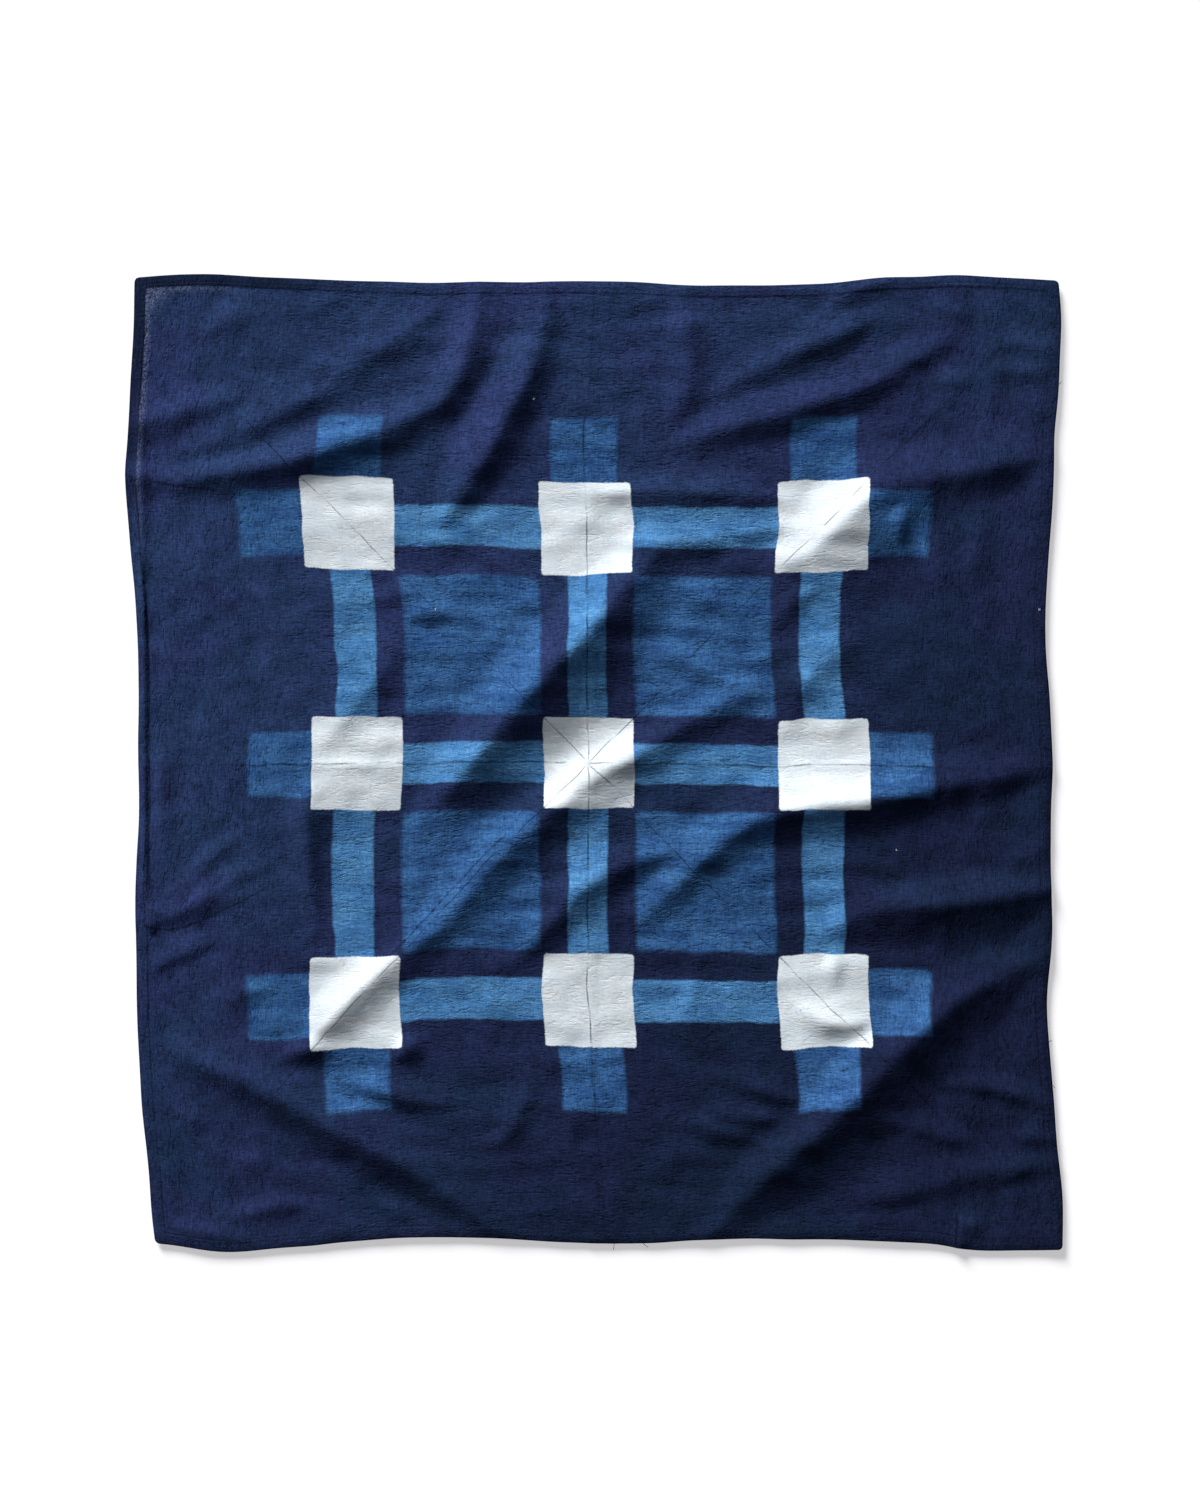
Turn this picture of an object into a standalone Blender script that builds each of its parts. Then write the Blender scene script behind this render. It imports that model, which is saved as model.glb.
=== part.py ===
"""A square cotton bandana laid out flat, with the folds it was stored in still standing.

The cloth is one hemmed sheet. It lies on the surface and lifts from it only at its folds, each a
ridge with a gentle side and a steep side. The tables below are in millimetres from the middle of
the cloth, +X to the right and +Y towards its upper edge; the finished mesh is in metres, +Z up,
with its underside at Z = 0.
"""

from collections import namedtuple

import bpy
import numpy as np
from mathutils import Vector
from mathutils.geometry import delaunay_2d_cdt

METRES_PER_MM = 0.001

# Sheet and hem, in millimetres
SHEET_THICKNESS = 1.2
HEM_THICKNESS = 1.8
HEM_WIDTH = 6.0
HEM_SLOPE = 2.0

# Cells of the sheet inside its hem
CELLS_ACROSS = 46
CELLS_ALONG = 48

# How a fold rounds over at its crest, in millimetres, how its two sides run down to the surface,
# and how narrow it is where its crest runs out, as a share of its full width
CREST_RADIUS = 3.0
GENTLE_POWER = 1.5
STEEP_POWER = 1.6
FOLD_BLEND = 3.0
TIP_WIDTH_SHARE = 0.35
CURVE_STEPS = 6

# The sheet's points along each crest, and how far the others keep from it
CREST_SPACING = 8.0
CREST_CLEARANCE = 5.0
MERGE_DISTANCE = 0.01

INDIGO = (0.018, 0.028, 0.088, 1.0)

EdgePoint = namedtuple("EdgePoint", "along across")
CrestPoint = namedtuple("CrestPoint", "x y height")
Fold = namedtuple("Fold", "name gentle steep crest")

# The side edges run from the top corner down: along is Y, across is X
LEFT_EDGE = (
    EdgePoint(280.3, -266.5),
    EdgePoint(239.9, -267.6),
    EdgePoint(184.4, -270.5),
    EdgePoint(156.6, -270.5),
    EdgePoint(101.1, -266.5),
    EdgePoint(42.2, -263.9),
    EdgePoint(-51.4, -264.1),
    EdgePoint(-93.1, -265.3),
    EdgePoint(-162.4, -264.1),
    EdgePoint(-217.9, -260.1),
    EdgePoint(-277.4, -253.7),
)
RIGHT_EDGE = (
    EdgePoint(278.6, 267.6),
    EdgePoint(244.5, 268.8),
    EdgePoint(184.4, 265.3),
    EdgePoint(128.9, 262.4),
    EdgePoint(79.8, 260.1),
    EdgePoint(1.7, 264.1),
    EdgePoint(-50.3, 263.0),
    EdgePoint(-90.7, 264.1),
    EdgePoint(-137.0, 261.3),
    EdgePoint(-190.2, 264.1),
    EdgePoint(-246.8, 269.9),
    EdgePoint(-281.5, 269.9),
)

# The top and bottom edges run from the left corner to the right: along is X, across is Y
TOP_EDGE = (
    EdgePoint(-266.5, 280.3),
    EdgePoint(-225.4, 282.1),
    EdgePoint(-169.9, 279.8),
    EdgePoint(-100.6, 277.4),
    EdgePoint(-31.2, 278.0),
    EdgePoint(61.3, 276.3),
    EdgePoint(121.4, 276.3),
    EdgePoint(176.9, 280.3),
    EdgePoint(232.4, 281.5),
    EdgePoint(267.6, 278.6),
)
BOTTOM_EDGE = (
    EdgePoint(-253.7, -277.4),
    EdgePoint(-216.2, -282.1),
    EdgePoint(-169.9, -279.2),
    EdgePoint(-128.3, -275.1),
    EdgePoint(-59.0, -274.5),
    EdgePoint(10.4, -278.0),
    EdgePoint(65.9, -275.1),
    EdgePoint(135.3, -275.1),
    EdgePoint(190.7, -277.4),
    EdgePoint(218.5, -280.9),
    EdgePoint(269.9, -281.5),
)

# Each fold: the widths of its gentle and steep sides, and its crest. Going along the crest, the
# gentle side is on the left hand and the steep side on the right hand.
FOLDS = (
    Fold("centre", 27, 38, (
        CrestPoint(-104, -42, 0),
        CrestPoint(-77, -7, 7),
        CrestPoint(-54, 22, 11),
        CrestPoint(-31, 48, 13),
        CrestPoint(-8, 71, 12.5),
        CrestPoint(9, 91, 10),
        CrestPoint(27, 112, 6.5),
        CrestPoint(44, 132, 0),
    )),
    Fold("below the centre", 18, 19, (
        CrestPoint(-172, -170, 0),
        CrestPoint(-150, -147, 5),
        CrestPoint(-130, -127, 5),
        CrestPoint(-112, -111, 4),
        CrestPoint(-89, -94, 4.5),
        CrestPoint(-72, -73, 5.5),
        CrestPoint(-49, -47, 6.5),
        CrestPoint(-25, -27, 6.5),
        CrestPoint(3, -7, 6),
        CrestPoint(32, 10, 5),
        CrestPoint(61, 28, 4),
        CrestPoint(84, 39, 2.5),
        CrestPoint(108, 50, 0),
    )),
    Fold("short, below the centre", 15, 16, (
        CrestPoint(-50, -118, 0),
        CrestPoint(-28, -94, 4),
        CrestPoint(-2, -68, 5.5),
        CrestPoint(27, -56, 3.6),
        CrestPoint(58, -46, 0),
    )),
    Fold("top middle", 22, 16, (
        CrestPoint(-92, 136, 0),
        CrestPoint(-72, 164, 5.5),
        CrestPoint(-60, 184, 7.5),
        CrestPoint(-50, 204, 7.5),
        CrestPoint(-38, 227, 6.5),
        CrestPoint(-31, 250, 4),
        CrestPoint(-27, 279, 0.8),
    )),
    Fold("upper left, turning up to the hem", 16, 17, (
        CrestPoint(-268, 166, 2),
        CrestPoint(-239, 165, 3.2),
        CrestPoint(-210, 168, 4.4),
        CrestPoint(-181, 174, 5.6),
        CrestPoint(-153, 183, 6),
        CrestPoint(-129, 191, 6),
        CrestPoint(-109, 198, 5),
        CrestPoint(-92, 207, 5),
        CrestPoint(-80, 221, 5.5),
        CrestPoint(-72, 244, 5),
        CrestPoint(-66, 279, 1),
    )),
    Fold("upper left, slanting", 22, 14, (
        CrestPoint(-255, 171, 0),
        CrestPoint(-229, 181, 1.8),
        CrestPoint(-205, 192, 2.6),
        CrestPoint(-181, 203, 3),
        CrestPoint(-160, 214, 2.2),
        CrestPoint(-140, 229, 2.6),
        CrestPoint(-118, 243, 2.6),
        CrestPoint(-100, 256, 1.4),
        CrestPoint(-90, 266, 0),
    )),
    Fold("upper left, at the hem", 17, 15, (
        CrestPoint(-269, 194, 1.6),
        CrestPoint(-250, 200, 3.2),
        CrestPoint(-236, 204, 2.4),
        CrestPoint(-215, 209, 1.8),
        CrestPoint(-194, 217, 0),
    )),
    Fold("upper right", 16, 13, (
        CrestPoint(38, 183, 0),
        CrestPoint(60, 188, 3.2),
        CrestPoint(84, 196, 4.2),
        CrestPoint(119, 206, 4.6),
        CrestPoint(145, 214, 4.4),
        CrestPoint(170, 226, 3.8),
        CrestPoint(190, 237, 2.4),
        CrestPoint(210, 247, 0),
    )),
    Fold("upper right, short", 14, 12, (
        CrestPoint(66, 214, 0),
        CrestPoint(80, 221, 2.2),
        CrestPoint(96, 228, 3.1),
        CrestPoint(112, 235, 3.6),
        CrestPoint(132, 244, 3.6),
        CrestPoint(150, 252, 2.4),
        CrestPoint(161, 258, 0),
    )),
    Fold("upper right, upright", 14, 14, (
        CrestPoint(40, 196, 0),
        CrestPoint(52, 212, 3),
        CrestPoint(54, 239, 3.6),
        CrestPoint(52, 262, 2.4),
        CrestPoint(50, 276, 1),
    )),
    Fold("right, above the middle", 24, 17, (
        CrestPoint(150, 150, 0),
        CrestPoint(166, 160, 4),
        CrestPoint(184, 164, 4.6),
        CrestPoint(210, 167, 4.2),
        CrestPoint(231, 172, 5),
        CrestPoint(266, 178, 2.6),
    )),
    Fold("right, above the middle, broad", 26, 44, (
        CrestPoint(92, 106, 0),
        CrestPoint(116, 117, 4),
        CrestPoint(134, 130, 6.5),
        CrestPoint(150, 146, 8),
        CrestPoint(166, 158, 7.6),
        CrestPoint(188, 164, 5.4),
        CrestPoint(216, 168, 0),
    )),
    Fold("right middle", 26, 19, (
        CrestPoint(17, -105, 0),
        CrestPoint(35, -82, 2.5),
        CrestPoint(61, -57, 4.5),
        CrestPoint(87, -36, 6),
        CrestPoint(119, -26, 8),
        CrestPoint(160, -22, 7.5),
        CrestPoint(206, -12, 5.2),
        CrestPoint(265, -3, 2.6),
    )),
    Fold("right, below the middle", 17, 24, (
        CrestPoint(130, -100, 0),
        CrestPoint(153, -88, 4),
        CrestPoint(194, -82, 7),
        CrestPoint(235, -77, 7.4),
        CrestPoint(266, -72, 3.8),
    )),
    Fold("lower right", 22, 30, (
        CrestPoint(58, -281, 0.8),
        CrestPoint(102, -236, 6.5),
        CrestPoint(134, -209, 8.5),
        CrestPoint(157, -186, 9.5),
        CrestPoint(180, -163, 9),
        CrestPoint(206, -139, 7.5),
        CrestPoint(235, -123, 5),
        CrestPoint(263, -110, 2.2),
    )),
    Fold("lower right, at the corner", 16, 11, (
        CrestPoint(146, -256, 0),
        CrestPoint(178, -248, 2.4),
        CrestPoint(210, -239, 2),
        CrestPoint(240, -234, 1.8),
        CrestPoint(262, -228, 0),
    )),
    Fold("lower left", 22, 16, (
        CrestPoint(-256, -160, 0),
        CrestPoint(-238, -168, 2),
        CrestPoint(-216, -178, 4.2),
        CrestPoint(-187, -192, 5.2),
        CrestPoint(-158, -208, 6.4),
        CrestPoint(-129, -222, 6.6),
        CrestPoint(-101, -239, 5.8),
        CrestPoint(-72, -259, 4.2),
        CrestPoint(-47, -276, 0.8),
    )),
    Fold("left, below the middle", 12, 7, (
        CrestPoint(-265, -91, 1),
        CrestPoint(-245, -87, 1.6),
        CrestPoint(-222, -80, 1.4),
        CrestPoint(-193, -73, 0),
    )),
)


def clear_scene():
    """Remove what the opened file holds."""
    for item in list(bpy.data.objects):
        bpy.data.objects.remove(item)


def smooth_line(rows):
    """A smooth curve through a table's rows (Catmull-Rom), as an array of closer rows."""
    knots = np.array(rows, dtype=float)
    padded = np.vstack((2 * knots[0] - knots[1], knots, 2 * knots[-1] - knots[-2]))
    curve = []
    for before, start, end, after in zip(padded, padded[1:], padded[2:], padded[3:]):
        for t in np.arange(CURVE_STEPS) / CURVE_STEPS:
            bend = (2 * before - 5 * start + 4 * end - after) * t ** 2
            twist = (3 * start - before - 3 * end + after) * t ** 3
            curve.append(0.5 * (2 * start + (end - before) * t + bend + twist))
    curve.append(knots[-1])
    return np.array(curve)


def edge_across(edge, along):
    """How far out an edge lies at the given places along it."""
    curve = smooth_line(edge)
    curve = curve[np.argsort(curve[:, 0])]
    return np.interp(along, curve[:, 0], curve[:, 1])


def side_point(edge, v):
    """Points on a side edge; v runs from 0 at the bottom corner to 1 at the top corner."""
    y = edge[-1].along + (edge[0].along - edge[-1].along) * v
    return np.stack((edge_across(edge, y), y), axis=1)


def end_point(edge, u):
    """Points on the top or bottom edge; u runs from 0 at the left corner to 1 at the right."""
    x = edge[0].along + (edge[-1].along - edge[0].along) * u
    return np.stack((x, edge_across(edge, x)), axis=1)


def cloth_plan(u, v):
    """Where the place (u, v) of the square cloth lies on the surface, between its four edges."""
    u_col = u[:, None]
    v_col = v[:, None]
    ends = (1 - v_col) * end_point(BOTTOM_EDGE, u) + v_col * end_point(TOP_EDGE, u)
    sides = (1 - u_col) * side_point(LEFT_EDGE, v) + u_col * side_point(RIGHT_EDGE, v)
    corners = np.array((
        (BOTTOM_EDGE[0].along, BOTTOM_EDGE[0].across),
        (BOTTOM_EDGE[-1].along, BOTTOM_EDGE[-1].across),
        (TOP_EDGE[0].along, TOP_EDGE[0].across),
        (TOP_EDGE[-1].along, TOP_EDGE[-1].across),
    ))
    low = (1 - u_col) * corners[0] + u_col * corners[1]
    high = (1 - u_col) * corners[2] + u_col * corners[3]
    return ends + sides - (1 - v_col) * low - v_col * high


def nearest_on_crest(points, fold):
    """Each point's distance from a fold's crest, the crest's height there, and whether the point
    is on the crest's left hand."""
    crest = smooth_line(fold.crest)
    nearest = np.full(len(points), np.inf)
    top = np.zeros(len(points))
    left_hand = np.zeros(len(points), dtype=bool)
    for start, end in zip(crest, crest[1:]):
        run = end[:2] - start[:2]
        share = np.clip((points - start[:2]) @ run / (run @ run), 0, 1)
        offset = points - start[:2] - share[:, None] * run
        distance = np.hypot(offset[:, 0], offset[:, 1])
        closer = distance < nearest
        nearest = np.where(closer, distance, nearest)
        top = np.where(closer, start[2] + share * (end[2] - start[2]), top)
        left_hand = np.where(closer, run[0] * offset[:, 1] > run[1] * offset[:, 0], left_hand)
    return nearest, np.maximum(top, 0), left_hand


def fold_height(points, fold):
    """How high one fold lifts the cloth at each point."""
    distance, top, on_gentle_side = nearest_on_crest(points, fold)
    peak = max(point.height for point in fold.crest)
    fullness = TIP_WIDTH_SHARE + (1 - TIP_WIDTH_SHARE) * top / peak
    width = np.where(on_gentle_side, fold.gentle, fold.steep) * fullness
    power = np.where(on_gentle_side, GENTLE_POWER, STEEP_POWER)
    away = np.sqrt(distance ** 2 + CREST_RADIUS ** 2) - CREST_RADIUS
    return top * np.clip(1 - away / width, 0, 1) ** power


def cloth_height(points):
    """How high the cloth's underside lies, with its folds run together where they meet."""
    lifted = sum(fold_height(points, fold) ** FOLD_BLEND for fold in FOLDS)
    return lifted ** (1 / FOLD_BLEND)


def inside_hem(points):
    """Which points lie within the hem, with a little room to spare."""
    x = points[:, 0]
    y = points[:, 1]
    reach = HEM_WIDTH + HEM_SLOPE + CREST_CLEARANCE
    across = (x > edge_across(LEFT_EDGE, y) + reach) & (x < edge_across(RIGHT_EDGE, y) - reach)
    along = (y > edge_across(BOTTOM_EDGE, x) + reach) & (y < edge_across(TOP_EDGE, x) - reach)
    return across & along


def crest_line(fold):
    """Evenly spaced points along a fold's crest, as far as it lies within the hem."""
    curve = smooth_line(fold.crest)[:, :2]
    steps = np.hypot(*np.diff(curve, axis=0).T)
    run = np.concatenate(((0,), np.cumsum(steps)))
    even = np.linspace(0, run[-1], round(run[-1] / CREST_SPACING) + 1)
    points = np.column_stack((np.interp(even, run, curve[:, 0]), np.interp(even, run, curve[:, 1])))
    return points[inside_hem(points)]


def gap_to_crests(points, crests):
    """Each point's distance from the nearest point of any crest line."""
    gaps = []
    for crest in crests:
        across = points[:, None] - crest[None]
        gaps.append(np.hypot(across[..., 0], across[..., 1]).min(axis=1))
    return np.min(gaps, axis=0)


def stations(length, cells):
    """Grid lines across one direction, as shares of its length: hem, its slope, then even cells."""
    hem_end = HEM_WIDTH / length
    slope_end = (HEM_WIDTH + HEM_SLOPE) / length
    even = np.linspace(slope_end, 1 - slope_end, cells + 1)
    return np.concatenate(((0, hem_end), even, (1 - hem_end, 1)))


def grid_points():
    """The sheet's grid on the surface, with each point's column and row."""
    width = BOTTOM_EDGE[-1].along - BOTTOM_EDGE[0].along
    length = LEFT_EDGE[0].along - LEFT_EDGE[-1].along
    across = stations(width, CELLS_ACROSS)
    along = stations(length, CELLS_ALONG)
    row, column = np.divmod(np.arange(len(across) * len(along)), len(across))
    return cloth_plan(across[column], along[row]), column, row


def outline_loop(column, row):
    """The grid points round the sheet's edge, anticlockwise from the bottom left corner."""
    last_column = column.max()
    last_row = row.max()
    width = last_column + 1
    bottom = list(range(0, last_column))
    right = [r * width + last_column for r in range(last_row)]
    top = [last_row * width + c for c in range(last_column, 0, -1)]
    left = [r * width for r in range(last_row, 0, -1)]
    return bottom + right + top + left


def cotton_material():
    """Plain woven cotton, dyed indigo."""
    material = bpy.data.materials.new("cotton")
    material.use_nodes = True
    shader = material.node_tree.nodes["Principled BSDF"]
    shader.inputs["Base Color"].default_value = INDIGO
    shader.inputs["Roughness"].default_value = 0.9
    shader.inputs["Metallic"].default_value = 0.0
    return material


def laid_sheet():
    """The sheet's points on the surface, its triangles, and which points belong to the hem.

    The triangles have an edge along every crest, and even cells elsewhere.
    """
    grid, column, row = grid_points()
    outline = outline_loop(column, row)
    in_hem = (column <= 1) | (column >= column.max() - 1) | (row <= 1) | (row >= row.max() - 1)
    crests = [crest_line(fold) for fold in FOLDS]
    keep = in_hem | (gap_to_crests(grid, crests) > CREST_CLEARANCE)
    new_index = np.cumsum(keep) - 1

    points = [grid[keep]]
    edges = []
    count = keep.sum()
    for crest in crests:
        points.append(crest)
        edges += [(count + i, count + i + 1) for i in range(len(crest) - 1)]
        count += len(crest)
    places = [Vector(place) for place in np.vstack(points)]
    loop = new_index[outline].tolist()
    places, _, triangles, sources, _, _ = delaunay_2d_cdt(places, edges, [loop], 1, MERGE_DISTANCE)
    hem_sources = set(new_index[in_hem].tolist())
    hem = [i for i, source in enumerate(sources) if hem_sources.intersection(source)]
    return np.array(places), triangles, hem


def build_cloth(collection):
    """The hemmed sheet, laid out on its folds."""
    points, triangles, hem_points = laid_sheet()
    middle = (points.min(axis=0) + points.max(axis=0)) / 2
    laid = np.column_stack((points - middle, cloth_height(points))) * METRES_PER_MM
    mesh = bpy.data.meshes.new("cloth")
    mesh.from_pydata(laid.tolist(), [], triangles)
    mesh.shade_smooth()
    mesh.materials.append(cotton_material())
    cloth = bpy.data.objects.new("cloth", mesh)
    collection.objects.link(cloth)

    hem = cloth.vertex_groups.new(name="hem")
    hem.add(hem_points, 1.0, "REPLACE")
    solidify = cloth.modifiers.new("sheet", "SOLIDIFY")
    solidify.thickness = HEM_THICKNESS * METRES_PER_MM
    solidify.offset = 1.0
    solidify.vertex_group = hem.name
    solidify.thickness_vertex_group = SHEET_THICKNESS / HEM_THICKNESS


def main():
    clear_scene()
    collection = bpy.data.collections.new("bandana")
    bpy.context.scene.collection.children.link(collection)
    build_cloth(collection)


main()
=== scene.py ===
"""A square cotton bandana, dyed indigo with a clamped pattern and laid out flat.

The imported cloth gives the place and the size. Over it go the cloth with its small creases,
crinkles and turned hem, the hem's stitches, the loose ends of its thread and a few specks of lint.
The tables are in millimetres from the middle of the cloth, +X to the right and +Y towards its upper
edge.
"""

import functools
import math
from collections import namedtuple

import bpy
import numpy as np
from bpy.props import FloatProperty, FloatVectorProperty, PointerProperty
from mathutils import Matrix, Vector


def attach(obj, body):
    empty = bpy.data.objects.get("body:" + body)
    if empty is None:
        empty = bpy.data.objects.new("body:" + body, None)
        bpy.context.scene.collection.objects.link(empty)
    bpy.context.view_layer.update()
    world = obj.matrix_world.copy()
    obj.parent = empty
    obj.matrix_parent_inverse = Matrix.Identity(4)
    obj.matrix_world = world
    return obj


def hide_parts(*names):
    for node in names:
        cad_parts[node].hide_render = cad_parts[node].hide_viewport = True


bl_info = {
    "name": "Clamp-dyed bandana",
    "version": (1, 0, 0),
    "blender": (4, 5, 0),
    "location": "View3D > Sidebar > Bandana",
    "description": "Makes a hemmed cotton bandana on its packed solid, and a plain stage for it",
    "category": "Add Mesh",
}

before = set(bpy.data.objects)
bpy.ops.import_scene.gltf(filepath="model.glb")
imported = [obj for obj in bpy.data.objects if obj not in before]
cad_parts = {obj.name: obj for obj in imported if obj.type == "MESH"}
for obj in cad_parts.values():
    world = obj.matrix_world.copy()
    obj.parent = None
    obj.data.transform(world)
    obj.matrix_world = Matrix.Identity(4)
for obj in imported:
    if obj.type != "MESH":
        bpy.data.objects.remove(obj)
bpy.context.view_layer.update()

METRES_PER_MM = 0.001
MM_PER_METRE = 1000.0

# How the folds round over at their crests and run down to the surface
CREST_RADIUS = 3.0
GENTLE_POWER = 1.5
STEEP_POWER = 1.6
FOLD_BLEND = 3.0
TIP_WIDTH_SHARE = 0.35
CURVE_STEPS = 6

# The small creases round over more sharply
CREASE_RADIUS = 1.2

EdgePoint = namedtuple("EdgePoint", "along across")
CrestPoint = namedtuple("CrestPoint", "x y height")
Fold = namedtuple("Fold", "name gentle steep crest")
PressLine = namedtuple("PressLine", "name start_x start_y end_x end_y height half_width")
CreaseShadeLine = namedtuple("CreaseShadeLine", "name start_x start_y end_x end_y dark")
Grain = namedtuple("Grain", "name across along height seed")
NoiseGrain = namedtuple("NoiseGrain", "seed across along detail up", defaults=(2.0, 1.0))
Span = namedtuple("Span", "low high start end", defaults=(0.0, 1.0))
ThreadEnd = namedtuple("ThreadEnd", "u v bend_x bend_y tip_x tip_y")
ClothSizes = namedtuple("ClothSizes", "sheet hem hem_width creases crinkles")


def edge_points(*rows):
    """An edge's points, a row for each: how far along it lies and how far across."""
    return tuple(EdgePoint(*row) for row in rows)


def folded(name, gentle, steep, *crest):
    """A fold or crease: the widths of its two sides, and its crest's points as x, y and height."""
    return Fold(name, gentle, steep, tuple(CrestPoint(*point) for point in crest))


# The side edges run from the top corner down: along is Y, across is X
LEFT_EDGE = edge_points(
    (280.3, -266.5), (239.9, -267.6), (184.4, -270.5), (156.6, -270.5), (101.1, -266.5),
    (42.2, -263.9), (-51.4, -264.1), (-93.1, -265.3), (-162.4, -264.1), (-217.9, -260.1),
    (-277.4, -253.7),
)
RIGHT_EDGE = edge_points(
    (278.6, 267.6), (244.5, 268.8), (184.4, 265.3), (128.9, 262.4), (79.8, 260.1), (1.7, 264.1),
    (-50.3, 263.0), (-90.7, 264.1), (-137.0, 261.3), (-190.2, 264.1), (-246.8, 269.9),
    (-281.5, 269.9),
)

# The top and bottom edges run from the left corner to the right: along is X, across is Y
TOP_EDGE = edge_points(
    (-266.5, 280.3), (-225.4, 282.1), (-169.9, 279.8), (-100.6, 277.4), (-31.2, 278.0),
    (61.3, 276.3), (121.4, 276.3), (176.9, 280.3), (232.4, 281.5), (267.6, 278.6),
)
BOTTOM_EDGE = edge_points(
    (-253.7, -277.4), (-216.2, -282.1), (-169.9, -279.2), (-128.3, -275.1), (-59.0, -274.5),
    (10.4, -278.0), (65.9, -275.1), (135.3, -275.1), (190.7, -277.4), (218.5, -280.9),
    (269.9, -281.5),
)

# Each fold: the widths of its gentle and steep sides, and its crest's points, each one's x, y and
# height. Going along the crest, the gentle side is on the left and the steep side on the right.
FOLDS = (
    folded("centre", 27, 38, (-104, -42, 0), (-77, -7, 7), (-54, 22, 11), (-31, 48, 13),
           (-8, 71, 12.5), (9, 91, 10), (27, 112, 6.5), (44, 132, 0)),
    folded("below the centre", 18, 19, (-172, -170, 0), (-150, -147, 5), (-130, -127, 5),
           (-112, -111, 4), (-89, -94, 4.5), (-72, -73, 5.5), (-49, -47, 6.5), (-25, -27, 6.5),
           (3, -7, 6), (32, 10, 5), (61, 28, 4), (84, 39, 2.5), (108, 50, 0)),
    folded("short, below the centre", 15, 16, (-50, -118, 0), (-28, -94, 4), (-2, -68, 5.5),
           (27, -56, 3.6), (58, -46, 0)),
    folded("top middle", 22, 16, (-92, 136, 0), (-72, 164, 5.5), (-60, 184, 7.5), (-50, 204, 7.5),
           (-38, 227, 6.5), (-31, 250, 4), (-27, 279, 0.8)),
    folded("upper left, turning up to the hem", 16, 17, (-268, 166, 2), (-239, 165, 3.2),
           (-210, 168, 4.4), (-181, 174, 5.6), (-153, 183, 6), (-129, 191, 6), (-109, 198, 5),
           (-92, 207, 5), (-80, 221, 5.5), (-72, 244, 5), (-66, 279, 1)),
    folded("upper left, slanting", 22, 14, (-255, 171, 0), (-229, 181, 1.8), (-205, 192, 2.6),
           (-181, 203, 3), (-160, 214, 2.2), (-140, 229, 2.6), (-118, 243, 2.6), (-100, 256, 1.4),
           (-90, 266, 0)),
    folded("upper left, at the hem", 17, 15, (-269, 194, 1.6), (-250, 200, 3.2), (-236, 204, 2.4),
           (-215, 209, 1.8), (-194, 217, 0)),
    folded("upper right", 16, 13, (38, 183, 0), (60, 188, 3.2), (84, 196, 4.2), (119, 206, 4.6),
           (145, 214, 4.4), (170, 226, 3.8), (190, 237, 2.4), (210, 247, 0)),
    folded("upper right, short", 14, 12, (66, 214, 0), (80, 221, 2.2), (96, 228, 3.1),
           (112, 235, 3.6), (132, 244, 3.6), (150, 252, 2.4), (161, 258, 0)),
    folded("upper right, upright", 14, 14, (40, 196, 0), (52, 212, 3), (54, 239, 3.6),
           (52, 262, 2.4), (50, 276, 1)),
    folded("right, above the middle", 24, 17, (150, 150, 0), (166, 160, 4), (184, 164, 4.6),
           (210, 167, 4.2), (231, 172, 5), (266, 178, 2.6)),
    folded("right, above the middle, broad", 26, 44, (92, 106, 0), (116, 117, 4), (134, 130, 6.5),
           (150, 146, 8), (166, 158, 7.6), (188, 164, 5.4), (216, 168, 0)),
    folded("right middle", 26, 19, (17, -105, 0), (35, -82, 2.5), (61, -57, 4.5), (87, -36, 6),
           (119, -26, 8), (160, -22, 7.5), (206, -12, 5.2), (265, -3, 2.6)),
    folded("right, below the middle", 17, 24, (130, -100, 0), (153, -88, 4), (194, -82, 7),
           (235, -77, 7.4), (266, -72, 3.8)),
    folded("lower right", 22, 30, (58, -281, 0.8), (102, -236, 6.5), (134, -209, 8.5),
           (157, -186, 9.5), (180, -163, 9), (206, -139, 7.5), (235, -123, 5), (263, -110, 2.2)),
    folded("lower right, at the corner", 16, 11, (146, -256, 0), (178, -248, 2.4), (210, -239, 2),
           (240, -234, 1.8), (262, -228, 0)),
    folded("lower left", 22, 16, (-256, -160, 0), (-238, -168, 2), (-216, -178, 4.2),
           (-187, -192, 5.2), (-158, -208, 6.4), (-129, -222, 6.6), (-101, -239, 5.8),
           (-72, -259, 4.2), (-47, -276, 0.8)),
    folded("left, below the middle", 12, 7, (-265, -91, 1), (-245, -87, 1.6), (-222, -80, 1.4),
           (-193, -73, 0)),
)

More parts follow.
